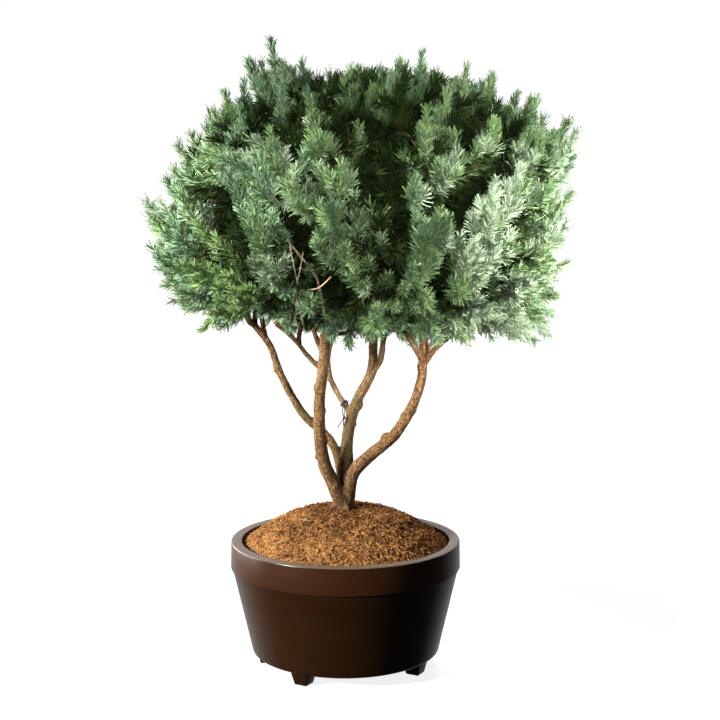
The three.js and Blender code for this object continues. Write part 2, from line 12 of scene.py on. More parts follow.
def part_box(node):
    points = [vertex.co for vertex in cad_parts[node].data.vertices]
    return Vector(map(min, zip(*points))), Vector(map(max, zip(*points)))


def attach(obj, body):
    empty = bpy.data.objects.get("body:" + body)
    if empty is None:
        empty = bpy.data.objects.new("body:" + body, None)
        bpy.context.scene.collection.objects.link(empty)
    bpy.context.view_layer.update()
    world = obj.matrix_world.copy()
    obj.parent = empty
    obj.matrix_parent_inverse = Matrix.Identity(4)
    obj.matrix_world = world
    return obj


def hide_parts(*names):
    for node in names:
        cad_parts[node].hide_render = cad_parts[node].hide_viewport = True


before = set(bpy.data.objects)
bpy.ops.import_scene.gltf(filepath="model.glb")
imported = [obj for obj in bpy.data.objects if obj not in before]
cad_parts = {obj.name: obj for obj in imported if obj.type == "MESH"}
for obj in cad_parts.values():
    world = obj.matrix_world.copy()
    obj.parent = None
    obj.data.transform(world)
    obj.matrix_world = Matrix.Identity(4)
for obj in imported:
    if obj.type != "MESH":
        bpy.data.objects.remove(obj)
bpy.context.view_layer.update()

# Planter
# The planter is a round tub moulded in a resin composite and stained dark brown: a body that widens upwards,
# with a plain band round its rim. The stain was drawn round it with a brush, which left fine level streaks.

planter_low, planter_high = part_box("planter")
planter_axis = np.array([(planter_low.x + planter_high.x) / 2, (planter_low.y + planter_high.y) / 2, 0])
rim_height, underside = planter_high.z, planter_low.z
band_radius = (planter_high.y - planter_low.y) / 2
band_foot = rim_height - 0.093
rim_radius, rim_inner_radius = band_radius - 0.003, 0.363
low_edge_radius, low_edge_height = 0.332, 0.068
base_radius, base_thickness = 0.3, 0.037
planter_segments = 180


def with_inputs(node, inputs):
    """A node with inputs given a value or joined to another node's output."""
    for key, value in inputs.items():
        if isinstance(value, bpy.types.NodeSocket):
            node.id_data.links.new(value, node.inputs[key])
        else:
            node.inputs[key].default_value = value
    return node


def add_node(tree, kind, inputs=None, **settings):
    node = tree.nodes.new(kind)
    for setting, value in settings.items():
        setattr(node, setting, value)
    return with_inputs(node, inputs or {})


def maths(operation, *values, kind="ShaderNodeMath"):
    tree = values[0].id_data
    return add_node(tree, kind, dict(enumerate(values)), operation=operation).outputs["Value"]


def ranged(*values):
    """A value brought from one range to another: value, low, high, result at low and result at high."""
    return add_node(values[0].id_data, "ShaderNodeMapRange", dict(enumerate(values))).outputs[0]


def part_of(vector, axis):
    return add_node(vector.id_data, "ShaderNodeSeparateXYZ", {0: vector}).outputs[axis]


def carried(place, name):
    """A value that the mesh carries at each place."""
    return add_node(place.id_data, "ShaderNodeAttribute", attribute_name=name).outputs["Fac"]


def blotches(place, scale, detail=3, rough=0.55, grain=None):
    """Smooth random light and dark, from 0 to 1, drawn out along the axes where the grain is small."""
    tree = place.id_data
    if grain:
        place = add_node(tree, "ShaderNodeMapping", {"Vector": place, "Scale": grain}).outputs["Vector"]
    inputs = {"Vector": place, "Scale": scale, "Detail": detail, "Roughness": rough}
    return add_node(tree, "ShaderNodeTexNoise", inputs).outputs["Fac"]


def shades(value, *stops):
    """A colour for each value from 0 to 1, from stops of a value and a colour or a grey."""
    ramp = add_node(value.id_data, "ShaderNodeValToRGB", {"Fac": value})
    elements = ramp.color_ramp.elements
    while len(elements) < len(stops):
        elements.new(0.5)
    for element, (position, colour) in zip(elements, stops):
        element.position = position
        element.color = (*np.broadcast_to(colour, 3), 1)
    return ramp.outputs["Color"]


def blend(share, first, second, mode="MIX"):
    """Two colours, mixed by a share."""
    inputs = {0: share, 6: first, 7: second}
    return add_node(first.id_data, "ShaderNodeMix", inputs, data_type="RGBA", blend_type=mode).outputs[2]


def tinted(colour, tint):
    return blend(1, colour, tint, "MULTIPLY")


def new_material(name, roughness, specular=0.5):
    """A material and the place on the piece."""
    material = bpy.data.materials.new(name)
    material.use_nodes = True
    tree = material.node_tree
    with_inputs(tree.nodes["Principled BSDF"], {"Roughness": roughness, "Specular IOR Level": specular})
    return material, add_node(tree, "ShaderNodeTexCoord").outputs["Object"]


def coated(material, colour, height=None, strength=0, distance=0):
    """The material in its colour, with fine relief."""
    inputs = {"Base Color": colour}
    if height is not None:
        bump = {"Height": height, "Strength": strength, "Distance": distance}
        inputs["Normal"] = add_node(colour.id_data, "ShaderNodeBump", bump).outputs["Normal"]
    with_inputs(material.node_tree.nodes["Principled BSDF"], inputs)
    return material


def stained_brown():
    """Satin dark brown with faint level streaks: the band is redder and lighter than the body."""
    material, place = new_material("stained_brown", 0.27)
    streaks = blotches(place, 1, 5, 0.6, (1.2, 1.2, 26))
    brushed = blotches(place, 1, 3, 0.6, (5, 5, 300))
    body = shades(streaks, (0.3, (0.022, 0.0078, 0.002)), (0.7, (0.031, 0.0112, 0.0029)))
    band = shades(streaks, (0.3, (0.036, 0.0125, 0.0036)), (0.7, (0.051, 0.018, 0.0053)))
    height = part_of(place, "Z")
    colour = blend(maths("GREATER_THAN", height, band_foot - 0.0005), body, band)
    # Painted sheen: the top of the rim is painted a pale grey brown for the reflection of the bright backdrop
    painted_rim_sheen = maths("GREATER_THAN", height, rim_height - 0.0022)
    colour = blend(painted_rim_sheen, colour, (0.165, 0.122, 0.096, 1))
    colour = tinted(colour, shades(brushed, (0.35, 0.86), (0.7, (1.08, 1.07, 1.06))))
    colour = tinted(colour, shades(blotches(place, 4, 2), (0.3, 0.88), (0.7, 1.08)))
    return coated(material, colour, brushed, 0.12, 0.0004)


def rounded(corners, steps=5):
    """An outline (radius, height) through corners, each rounded off over its own length of edge."""
    outline = []
    for index, (*corner, ease) in enumerate(corners):
        corner = np.array(corner)
        if ease == 0:
            outline.append(corner)
            continue
        start, end = (corner + unit(np.array(other[:2]) - corner) * ease
                      for other in (corners[index - 1], corners[index + 1]))
        for share in np.linspace(0, 1, steps):
            outline.append(start * (1 - share) ** 2 + corner * 2 * share * (1 - share) + end * share ** 2)
    return outline


def turned(outline, segments):
    """Points and faces of an outline turned about the planter's axis. It starts and ends on the axis."""
    bearings = np.linspace(0, 2 * np.pi, segments, endpoint=False)
    rings = np.array(outline[1:-1])
    points = np.stack([np.outer(rings[:, 0], np.cos(bearings)), np.outer(rings[:, 0], np.sin(bearings)),
                       np.repeat(rings[:, 1:], segments, axis=1)], axis=-1).reshape(-1, 3)
    first = len(points)
    last_ring = first - segments
    faces = []
    for here in range(segments):
        beside = (here + 1) % segments
        faces.append((first, beside, here))
        faces.append((first + 1, last_ring + here, last_ring + beside))
        for low in range(0, last_ring, segments):
            faces.append((low + here, low + beside, low + segments + beside, low + segments + here))
    return np.vstack([points, [0, 0, outline[0][1]], [0, 0, outline[-1][1]]]), faces


def unit(vectors):
    return vectors / np.maximum(np.linalg.norm(vectors, axis=-1, keepdims=True), 1e-12)


def set_out(name, data):
    piece = bpy.data.objects.new(name, data)
    bpy.context.scene.collection.objects.link(piece)
    return piece


def mesh_piece(name, points, faces, material):
    """A piece from points given from the planter's axis, and its faces."""
    mesh = bpy.data.meshes.new(name)
    mesh.from_pydata((points + planter_axis).tolist(), [], faces)
    mesh.materials.append(material)
    mesh.shade_smooth()
    return set_out(name, mesh)


def fit(piece, slot, *nodes):
    """Puts a piece in the place of its nodes."""
    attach(piece, "root")
    if nodes:
        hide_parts(*nodes)


brown = stained_brown()
planter_outline = rounded([
    (0, underside, 0),
    (base_radius, underside, 0.006),
    (low_edge_radius - 0.004, low_edge_height - 0.018, 0.007),
    (low_edge_radius, low_edge_height, 0.006),
    (band_radius - 0.006, band_foot, 0),
    (band_radius - 0.001, band_foot, 0.0012),
    (rim_radius, rim_height, 0.005),
    (rim_inner_radius, rim_height, 0.004),
    (rim_inner_radius, band_foot, 0),
    (base_radius, underside + base_thickness, 0),
    (0, underside + base_thickness, 0),
])
planter = mesh_piece("planter_tub", *turned(planter_outline, planter_segments), brown)
planter.data.set_sharp_from_angle(angle=math.radians(40))
fit(planter, "planter", "planter")

# Planter feet
# Five small blocks of the same stained composite, narrower at the floor, are moulded under the tub's edge.
# Their edges are worn soft.

foot_ease = 0.004
foot_slimness, foot_inset, foot_rise = 0.8, 0.012, 0.01

for number in range(1, 6):
    work = bmesh.new()
    work.from_mesh(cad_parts[f"planter_foot_{number}"].data)
    bmesh.ops.remove_doubles(work, verts=work.verts, dist=1e-5)
    bmesh.ops.dissolve_limit(work, angle_limit=math.radians(2), verts=work.verts, edges=work.edges)
    bmesh.ops.bevel(work, geom=work.edges, offset=foot_ease, segments=3, profile=0.6, affect="EDGES")
    foot_low, foot_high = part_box(f"planter_foot_{number}")
    middle = (foot_low + foot_high) / 2
    inward = (Vector(planter_axis) - middle).to_2d().normalized() * foot_inset
    for corner in work.verts:
        corner.co.x = middle.x + (corner.co.x - middle.x) * foot_slimness + inward.x
        corner.co.y = middle.y + (corner.co.y - middle.y) * foot_slimness + inward.y
        corner.co.z += foot_rise if corner.co.z > middle.z else 0
    foot_mesh = bpy.data.meshes.new(f"foot_{number}")
    work.to_mesh(foot_mesh)
    work.free()
    foot_mesh.materials.append(brown)
    foot_mesh.shade_smooth()
    fit(set_out(f"foot_{number}", foot_mesh), "planter", f"planter_foot_{number}")

# Mulch mound
# The planter is heaped with soil under a thick coat of shredded bark and coconut fibre, golden brown with
# darker crumbs in it and a few long pale straws. It lies loose, a little below the rim at its edge.

mound_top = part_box("mulch_mound")[1].z
mound_radius, mound_seat = 0.3625, 0.07
mound_edge_height = rim_height - 0.014
mound_fullness = 1.8
mound_rings, mound_segments = 96, 240
mound_lumps = ((28, 0.0045), (75, 0.003), (210, 0.0016))


def mound_points():
    """The top of the mound, lumpy, closed by a skirt that goes down inside the tub."""
    radii = np.linspace(0.004, mound_radius, mound_rings)
    share = np.clip(radii - mound_seat, 0, None) / (0.356 - mound_seat)
    heights = mound_edge_height + (mound_top - mound_edge_height) * (1 - share ** mound_fullness)
    skirt = rim_height - 0.09
    outline = [(0, skirt), (mound_radius, skirt), *zip(radii[::-1], heights[::-1]), (0, mound_top)]
    points, faces = turned(outline, mound_segments)
    for point in points:
        if point[2] > rim_height - 0.05:
            lumps = sum(noise.noise(Vector(point) * scale) * height for scale, height in mound_lumps)
            quiet = min(1, max(0.25, (mound_radius - math.hypot(*point[:2])) / 0.03))
            point[2] += lumps * quiet - 0.003
    return points, faces


def mulch_finish(name, dark, middle, light):
    """Dry fibre, with each bit a little lighter or darker than the next, and darker with painted shade in
    places.
    """
    material, place = new_material(name, 0.95, 0.2)
    crumbs = blotches(place, 90, 5, 0.75)
    drifts_and_shade = blotches(place, 9)
    to_trunk = maths("DISTANCE", place, (*planter_axis[:2], mound_top), kind="ShaderNodeVectorMath")
    # Painted shade: darker to the right, higher up the mound and close round the trunk's foot
    for mulch_shade_ramp in ((part_of(place, "X"), -0.02, 0.2, 0.02, -0.04),
                 (part_of(place, "Z"), 0.42, 0.54, 0.155, -0.035), (to_trunk, 0.05, 0.16, -0.3, 0)):
        drifts_and_shade = maths("ADD", drifts_and_shade, ranged(*mulch_shade_ramp))
    base = shades(crumbs, (0.36, dark), (0.5, middle), (0.66, light))
    tint = shades(drifts_and_shade, (0.28, (0.66, 0.57, 0.51)), (0.64, (1.5, 1.44, 1.38)))
    return coated(material, tinted(base, tint), crumbs, 0.8, 0.004)


def settled(piece):
    """The mesh that a piece's modifiers give. They are then taken off."""
    mesh = bpy.data.meshes.new_from_object(piece.evaluated_get(bpy.context.evaluated_depsgraph_get()))
    piece.modifiers.clear()
    return mesh


def strew(name, material, density, length, thickness, tilt, seed):
    """Short bent fibres over the upward faces of the mound, lying in every direction."""
    tree = bpy.data.node_groups.new(name, "GeometryNodeTree")
    for side in ("INPUT", "OUTPUT"):
        tree.interface.new_socket(name="Geometry", in_out=side, socket_type="NodeSocketGeometry")
    upward = part_of(add_node(tree, "GeometryNodeInputNormal").outputs["Normal"], "Z")
    chosen = add_node(tree, "FunctionNodeCompare", {0: upward, 1: 0.2}, operation="GREATER_THAN")
    spread = add_node(tree, "GeometryNodeDistributePointsOnFaces", {
        "Mesh": add_node(tree, "NodeGroupInput").outputs[0], "Selection": chosen.outputs[0],
        "Density": density, "Seed": seed})
    bend = add_node(tree, "GeometryNodeCurveQuadraticBezier", {
        "Resolution": 3, "Start": (-length / 2, 0, 0), "Middle": (0, length * 0.22, 0),
        "End": (length / 2, 0, 0)})
    ring = add_node(tree, "GeometryNodeCurvePrimitiveCircle", {"Resolution": 3, "Radius": thickness})
    fibre = add_node(tree, "GeometryNodeCurveToMesh", {
        "Curve": bend.outputs[0], "Profile Curve": ring.outputs[0], "Fill Caps": True})
    leaning = add_node(tree, "FunctionNodeRandomValue", {
        0: (-3.1, -tilt, -3.1416), 1: (3.1, tilt, 3.1416), "Seed": seed}, data_type="FLOAT_VECTOR")
    turning = add_node(tree, "FunctionNodeEulerToRotation", {"Euler": leaning.outputs[0]})
    laid = add_node(tree, "FunctionNodeRotateRotation", {
        "Rotation": spread.outputs["Rotation"], "Rotate By": turning.outputs[0]}, rotation_space="LOCAL")
    sizes = add_node(tree, "FunctionNodeRandomValue", {2: 0.45, 3: 1.3, "Seed": seed})
    strewn = add_node(tree, "GeometryNodeInstanceOnPoints", {
        "Points": spread.outputs["Points"], "Instance": fibre.outputs[0],
        "Rotation": laid.outputs[0], "Scale": sizes.outputs[1]})
    real = add_node(tree, "GeometryNodeRealizeInstances", {"Geometry": strewn.outputs[0]})
    finished = add_node(tree, "GeometryNodeSetMaterial", {"Geometry": real.outputs[0], "Material": material})
    add_node(tree, "NodeGroupOutput", {0: finished.outputs[0]})
    mound.modifiers.new("strewn", "NODES").node_group = tree
    mesh = settled(mound)
    mesh.name = name
    fit(set_out(name, mesh), "mulch")


bed = mulch_finish("mulch_bed", (0.05, 0.021, 0.008), (0.22, 0.105, 0.036), (0.42, 0.23, 0.085))
golden = mulch_finish("golden_fibre", (0.11, 0.045, 0.014), (0.36, 0.175, 0.056), (0.62, 0.36, 0.13))
umber = mulch_finish("dark_crumbs", (0.018, 0.008, 0.004), (0.06, 0.026, 0.011), (0.13, 0.06, 0.026))
straw = mulch_finish("pale_straw", (0.42, 0.28, 0.12), (0.56, 0.4, 0.2), (0.66, 0.52, 0.3))

# Loose bits: density, length, thickness, tilt and seed
mound = mesh_piece("mulch_bed", *mound_points(), bed)
strew("mulch_fibres_under", golden, 9500, 0.024, 0.0011, 0.55, 3)
strew("mulch_fibres_over", golden, 9500, 0.024, 0.0011, 0.55, 4)
strew("mulch_crumbs", umber, 6500, 0.012, 0.0017, 0.7, 5)
strew("mulch_straws", straw, 70, 0.05, 0.0011, 0.22, 8)
fit(mound, "mulch", "mulch_mound")

# Trunk and boughs
# Four stems fork from one short trunk just above the ground and lean apart, and side limbs leave them below
# the foliage. The bark is thin, orange brown and flaking, with knots where twigs were cut away.

# Tiers of foliage: number of masses, degrees down from the top, first bearing, lift and share of the stem
mass_tiers = [
    ("top", 1, 0, 0, 1, 1),
    ("upper", 5, 42, 216, 0.9, 1),
    ("middle", 8, 78, 255.7, 0.9, 1),
    ("lower", 8, 112, 278.2, 2.4, 1),
    ("under", 3, 150, 270, 2, 0.5),
]
mass_depth = 0.66
stem_length, stem_room = 0.17, 0.0085
crown_centre = np.array([0.045, 0, 1.64])
crown_half_width, crown_half_depth, crown_rise, crown_drop = 0.745, 0.65, 0.45, 0.51
crown_plan = 2.2
crown_top_left, crown_top_right, crown_bottom_left, crown_bottom_right = 1.6, 2.8, 3.2, 6.5
limb_taper = 0.7
path_steps = 400
UP = np.array([0, 0, 1.0])


def span(vectors):
    return np.linalg.norm(vectors, axis=-1)


def crown_reach(way):
    """How far the crown reaches from its middle, one way: a rounded body, fuller to the right."""
    right = (1 + way[..., 0] / np.maximum(np.hypot(way[..., 0], way[..., 1]), 1e-9)) / 2
    across = np.abs(way[..., 0]) / crown_half_width
    deep = np.abs(way[..., 1]) / crown_half_depth
    outward = (across ** crown_plan + deep ** crown_plan) ** (1 / crown_plan)
    rising = way[..., 2] > 0
    upward = np.abs(way[..., 2]) / np.where(rising, crown_rise, crown_drop)
    left_power = np.where(rising, crown_top_left, crown_bottom_left)
    right_power = np.where(rising, crown_top_right, crown_bottom_right)
    power = left_power + (right_power - left_power) * right
    return (outward ** power + upward ** power) ** (-1 / power)


def room_at(point, name):
    """How far a point lies inside a mass's own space, which ends midway to each neighbour."""
    here = masses[name]["centre"]
    rest = np.array([mass["centre"] for other, mass in masses.items() if other != name])
    return (((rest + here) / 2 - point) * unit(rest - here)).sum(axis=1).min()


# Each mass has a middle, a stem that heads into it and the point where the stem starts
masses = {}
for tier, count, down, bearing, lift, share in mass_tiers:
    for index in range(count):
        theta = math.radians(bearing + 360 / count * index)
        phi = math.radians(down)
        way = np.array([math.sin(phi) * math.cos(theta), math.sin(phi) * math.sin(theta), math.cos(phi)])
        masses[f"{tier}_{index + 1}" if count > 1 else tier] = {
            "centre": way * crown_reach(way) * mass_depth + crown_centre,
            "heading": unit(np.array([way[0], way[1], lift])), "stem": share}
for name, mass in masses.items():
    for tenths in range(round(mass["stem"] * 10), 2, -1):
        mass["entry"] = mass["centre"] - mass["heading"] * stem_length * tenths / 10
        if room_at(mass["entry"], name) > stem_room:
            break


def evenly(points):
    """A path's points, spaced evenly along it."""
    reached = np.concatenate([[0], np.cumsum(span(np.diff(points, axis=0)))])
    wanted = np.linspace(0, reached[-1], path_steps + 1)
    return np.stack([np.interp(wanted, reached, axis) for axis in points.T], axis=1)


def through(stops):
    """A smooth path through its stops that neither loops nor overshoots."""
    stops = np.array(stops, float)
    stops = np.vstack([2 * stops[0] - stops[1], stops, 2 * stops[-1] - stops[-2]])
    share = np.linspace(0, 1, 30, endpoint=False)[:, None]
    path = []
    for before, here, there, after in zip(stops, stops[1:], stops[2:], stops[3:]):
        first, gap, last = np.sqrt(span(np.diff([before, here, there, after], axis=0)))
        leaving = gap * ((here - before) / first - (there - before) / (first + gap) + (there - here) / gap)
        coming = gap * ((there - here) / gap - (after - here) / (gap + last) + (after - there) / last)
        square = 3 * (there - here) - 2 * leaving - coming
        cube = 2 * (here - there) + leaving + coming
        path.append(here + leaving * share + square * share ** 2 + cube * share ** 3)
    return evenly(np.vstack([*path, stops[-2]]))


def bezier(corners, share):
    """Points on curves with four corners each, at shares of their way."""
    share = share[..., None]
    rest = 1 - share
    start, leaving, coming, end = (corners[..., corner, :] for corner in range(4))
    return (start * rest ** 3 + leaving * 3 * rest ** 2 * share + coming * 3 * rest * share ** 2
            + end * share ** 3)


def step_at_height(path, height):
    above = np.nonzero(path[:, 2] >= height)[0]
    return int(above[0]) if len(above) else len(path) - 1


limbs = {}


def add_limb(name, path, thick, thin):
    share = np.linspace(0, 1, len(path)) ** limb_taper
    limbs[name] = {"path": path, "radius": thick + (thin - thick) * share}


def add_bough(name, thick, thin, carries, stops, parent=None, height=0):
    """A bough through its stops into a mass. A side bough starts at a height on its parent."""
    if parent:
        path = limbs[f"bough_{parent}"]["path"]
        stops = [path[step_at_height(path, height)], *stops]
    entry, heading = masses[carries]["entry"], masses[carries]["heading"]
    before = entry - heading * stem_length * masses[carries]["stem"] / 2
    add_limb(f"bough_{name}", through([*stops, before, entry]), thick, thin)


add_bough("front", 0.027, 0.0115, "upper_1", [
    (-0.014, -0.002, 0.568), (-0.043, -0.012, 0.642), (-0.072, -0.032, 0.712), (-0.088, -0.05, 0.82),
    (-0.088, -0.066, 0.94), (-0.078, -0.085, 1.035), (-0.068, -0.115, 1.14), (-0.07, -0.14, 1.33)])
add_bough("left", 0.019, 0.011, "lower_7", [
    (-0.008, 0.012, 0.6), (-0.02, 0.033, 0.69), (-0.044, 0.045, 0.766), (-0.083, 0.05, 0.815),
    (-0.142, 0.045, 0.868), (-0.224, 0.025, 1.017), (-0.262, 0.005, 1.125), (-0.312, -0.018, 1.195)])
add_bough("back", 0.0265, 0.009, "upper_4", [
    (0.002, 0.012, 0.59), (0.007, 0.03, 0.681), (0.004, 0.046, 0.76), (0.016, 0.065, 0.845),
    (0.045, 0.083, 0.928), (0.091, 0.1, 1.017), (0.098, 0.12, 1.12), (0.102, 0.14, 1.2)])
add_bough("right", 0.027, 0.0075, "upper_3", [
    (0.008, 0.004, 0.59), (0.024, 0.003, 0.67), (0.086, -0.01, 0.74), (0.165, -0.02, 0.808),
    (0.225, -0.015, 0.9), (0.262, 0.005, 1), (0.271, 0.02, 1.129), (0.268, 0.04, 1.22)])
stem_names = list(limbs)
add_bough("front_left", 0.0095, 0.008, "lower_8", [
    (-0.126, -0.11, 1.101), (-0.152, -0.135, 1.139), (-0.188, -0.172, 1.184), (-0.226, -0.205, 1.222)],
    "front", 1.045)
add_bough("front_side", 0.01, 0.008, "under_3", [
    (-0.09, -0.078, 1.14), (-0.106, -0.048, 1.178)], "front", 1.1)
add_bough("left_side", 0.009, 0.0075, "lower_6", [
    (-0.288, 0.03, 1.203), (-0.29, 0.062, 1.24)], "left", 1.14)
add_bough("back_left", 0.0115, 0.009, "lower_5", [
    (-0.003, 0.09, 0.903), (-0.032, 0.12, 0.943), (-0.058, 0.155, 1), (-0.062, 0.19, 1.08)],
    "back", 0.868)
add_bough("back_right", 0.012, 0.009, "top", [
    (0.121, 0.08, 1.06), (0.131, 0.068, 1.124), (0.136, 0.06, 1.2)], "back", 1.01)
add_bough("right_left", 0.0115, 0.008, "lower_1", [
    (0.242, -0.02, 1.115), (0.208, -0.06, 1.169)], "right", 1.06)
add_bough("right_outer", 0.012, 0.0085, "lower_2", [
    (0.298, -0.01, 1.099), (0.333, -0.04, 1.14), (0.364, -0.076, 1.17)], "right", 1.05)
add_bough("right_back", 0.0105, 0.008, "lower_4", [
    (0.289, 0.05, 1.112), (0.317, 0.1, 1.14)], "right", 1.078)
bough_names = list(limbs)


def tubes(paths, radii, sides):
    """Closed tubes along many paths at once: paths (tubes, rings, 3) and radii (tubes, rings)."""
    count, rings = radii.shape
    along = unit(np.gradient(paths, axis=1))
    overall = np.abs(unit(paths[:, -1] - paths[:, 0]))
    first = unit(np.cross(along, np.eye(3)[np.argmin(overall, axis=1)][:, None]))
    second = np.cross(along, first)
    turn = np.linspace(0, 2 * np.pi, sides, endpoint=False)[None, None, :, None]
    spokes = first[:, :, None] * np.cos(turn) + second[:, :, None] * np.sin(turn)
    points = (paths[:, :, None] + spokes * radii[:, :, None, None]).reshape(-1, 3)
    ring = np.arange(rings - 1)[:, None] * sides
    here = ring + np.arange(sides)
    beside = ring + (np.arange(sides) + 1) % sides
    walls = np.stack([here, beside, beside + sides, here, beside + sides, here + sides], axis=-1)
    fan = np.arange(1, sides - 1)
    foot = np.stack([fan * 0, fan + 1, fan], axis=-1)
    tip = np.stack([fan * 0, fan, fan + 1], axis=-1) + (rings - 1) * sides
    return points, repeated(np.vstack([walls.reshape(-1, 3), foot, tip]), count, rings * sides)


def repeated(faces, count, points):
    """The faces of one shape, for a number of shapes with the same number of points each."""
    return (faces[None] + (np.arange(count) * points)[:, None, None]).reshape(-1, 3)


def joined_tubes(parts, sides):
    """Tubes of different lengths, each with a path and a radius, in one mesh."""
    points, faces, count = [], [], 0
    for path, radius in parts:
        more, skin = tubes(path[None], np.broadcast_to(radius, (1, len(path))), sides)
        points.append(more)
        faces.append(skin + count)
        count += len(more)
    return np.vstack(points), np.vstack(faces)


def array_piece(name, points, faces, material, smooth=True):
    """A piece of many triangles, straight from arrays."""
    mesh = bpy.data.meshes.new(name)
    mesh.vertices.add(len(points))
    mesh.loops.add(faces.size)
    mesh.polygons.add(len(faces))
    mesh.vertices.foreach_set("co", (points + planter_axis).astype(np.float32).ravel())
    mesh.loops.foreach_set("vertex_index", faces.astype(np.int32).ravel())
    mesh.polygons.foreach_set("loop_start", np.arange(0, faces.size, 3, dtype=np.int32))
    mesh.materials.append(material)
    mesh.update(calc_edges=True)
    mesh.shade_smooth() if smooth else mesh.shade_flat()
    return set_out(name, mesh)


def mark(piece, name, values):
    """Gives a mesh a value at each of its points, for its material."""
    shade = piece.data.attributes.new(name, "FLOAT", "POINT")
    shade.data.foreach_set("value", values.astype(np.float32))


ground = mound_top
flare_foot = np.array([-0.01, 0, ground])
flare_radius, flare_waist, flare_height = 0.038, 0.026, 0.075
root_count, root_length, root_radius = 5, 0.048, 0.014
root_scar = np.array([-0.027, -0.042, ground + 0.002])
golden_angle = math.pi * (3 - math.sqrt(5))
bark_voxel = 0.0032
flake_scale = (85, 85, 34)
crack_width, crack_depth = 0.22, 0.0011
swell_height, grain_height = 0.0016, 0.0006

# Knots on the boughs: height, bearing round the bough in degrees, width and how far it stands out
knots = [
    ("front", [(0.985, 200, 0.017, 0.006), (0.905, 350, 0.014, 0.003), (0.8, 20, 0.02, 0.003),
               (0.742, 185, 0.01, 0.006), (0.7, 300, 0.012, 0.003)]),
    ("left", [(1.04, 180, 0.013, 0.006), (0.845, 40, 0.014, 0.007)]),
    ("back", [(0.905, 20, 0.019, 0.006), (0.838, 350, 0.011, 0.005), (0.915, 250, 0.016, 0.005),
              (0.872, 215, 0.022, 0.003)]),
    ("right", [(0.79, 120, 0.024, 0.009), (0.765, 300, 0.017, 0.004), (0.9, 10, 0.015, 0.003),
               (0.872, 200, 0.013, 0.004)]),
    ("back_left", [(0.985, 215, 0.01, 0.003)]),
    ("right", [(1.045, 190, 0.016, 0.004)]),
]


def straight(start, end, share):
    return start + (end - start) * share[:, None]


def trunk_parts():
    """The boughs, their feet down in the trunk, its flare, the root heels and the knots, as tubes."""
    for name in bough_names:
        yield limbs[name]["path"][::4], limbs[name]["radius"][::4]
    for name in stem_names:
        foot = limbs[name]["path"][0]
        below = (flare_foot + (foot - flare_foot) * 0.7) * (1, 1, 0) + UP * (ground - 0.015)
        yield straight(below, foot, np.linspace(0, 1.2, 10)), limbs[name]["radius"][0]
    share = np.linspace(0, 1, 12)
    waist = flare_foot + (0.005, 0.005, flare_height)
    yield (straight(flare_foot - UP * 0.02, waist, share),
           flare_radius + (flare_waist - flare_radius) * share ** 0.6)
    for root in range(root_count):
        bearing = root * golden_angle + 0.4
        toe = flare_foot + (math.cos(bearing) * root_length, math.sin(bearing) * root_length, -0.008)
        yield (straight(flare_foot + UP * flare_height * 0.45, toe, share), root_radius * (1 - 0.5 * share))
    share = np.linspace(0, 1, 10)
    profile = np.sqrt(np.clip(1 - (2 * share - 1) ** 2, 0, 1)) + 0.02
    for bough, rows in knots:
        path, radius = limbs[f"bough_{bough}"]["path"], limbs[f"bough_{bough}"]["radius"]
        for height, bearing, width, proud in rows:
            step = step_at_height(path, height)
            bearing = math.radians(bearing)
            way = np.array([math.cos(bearing), math.sin(bearing), 0.12])
            along = unit(path[step + 1] - path[step - 1])
            way = unit(way - along * (way @ along))
            yield (straight(path[step], path[step] + way * (radius[step] + proud), share),
                   width * profile ** 0.6)


def clear_of(points, name):
    """How far points are from the skin of one stem."""
    nearest = np.inf
    for middle, reach in zip(limbs[name]["path"][:280:7], limbs[name]["radius"][:280:7]):
        nearest = np.minimum(nearest, span(points - middle) - reach)
    return nearest


def raise_bark(wood):
    """Flakes with wandering cracks between them, drawn out along the boughs, and slow swellings."""
    total = len(wood.data.vertices)
    places, normals = np.zeros(total * 3), np.zeros(total * 3)
    wood.data.vertices.foreach_get("co", places)
    wood.data.vertices.foreach_get("normal", normals)
    places = places.reshape(-1, 3)
    raised, cracks = np.zeros(total), np.zeros(total)
    noise.seed_set(20)
    for index, point in enumerate(places):
        drawn = Vector(point * flake_scale)
        near = noise.voronoi(drawn + noise.noise_vector(Vector(point) * 60) * 0.45)[0]
        cracks[index] = max(0, 1 - (near[1] - near[0]) / crack_width)
        raised[index] = (swell_height * noise.noise(Vector(point) * 24)
                         + grain_height * noise.noise(drawn * 3.1))
    mark(wood, "crack", cracks)
    height = places[:, 2]
    gaps = np.stack([clear_of(places - planter_axis, name) for name in stem_names])
    at_left, at_back = (gaps.argmin(axis=0) == stem_names.index(name)
                        for name in ("bough_left", "bough_back"))
    # Painted shade: the bark is darkened in the forks between stems, round the trunk's foot and under the
    # crown on the back bough
    painted_shade = np.clip(1 - np.sort(gaps, axis=0)[1] / 0.016, 0, 1) ** 1.5
    painted_shade = np.maximum(painted_shade, np.interp(height, [ground, ground + 0.12], [0.42, 0]))
    painted_shade = np.maximum(painted_shade, at_back * np.interp(height, [0.95, 1.1], [0, 0.55]))
    mark(wood, "painted_shade", painted_shade)
    mark(wood, "grown_over", at_back * np.interp(height, [0.6, 0.68, 0.95, 1.05], [0.4, 1, 0.8, 0])
         + at_left * np.interp(height, [0.8, 0.88, 0.98, 1.06], [0, 0.6, 0.6, 0]))
    mark(wood, "bare_wood", np.clip(1.6 - span(places - planter_axis - root_scar) / 0.009, 0, 1))
    places += normals.reshape(-1, 3) * (raised - crack_depth * cracks)[:, None]
    wood.data.vertices.foreach_set("co", places.ravel())
    wood.data.update()


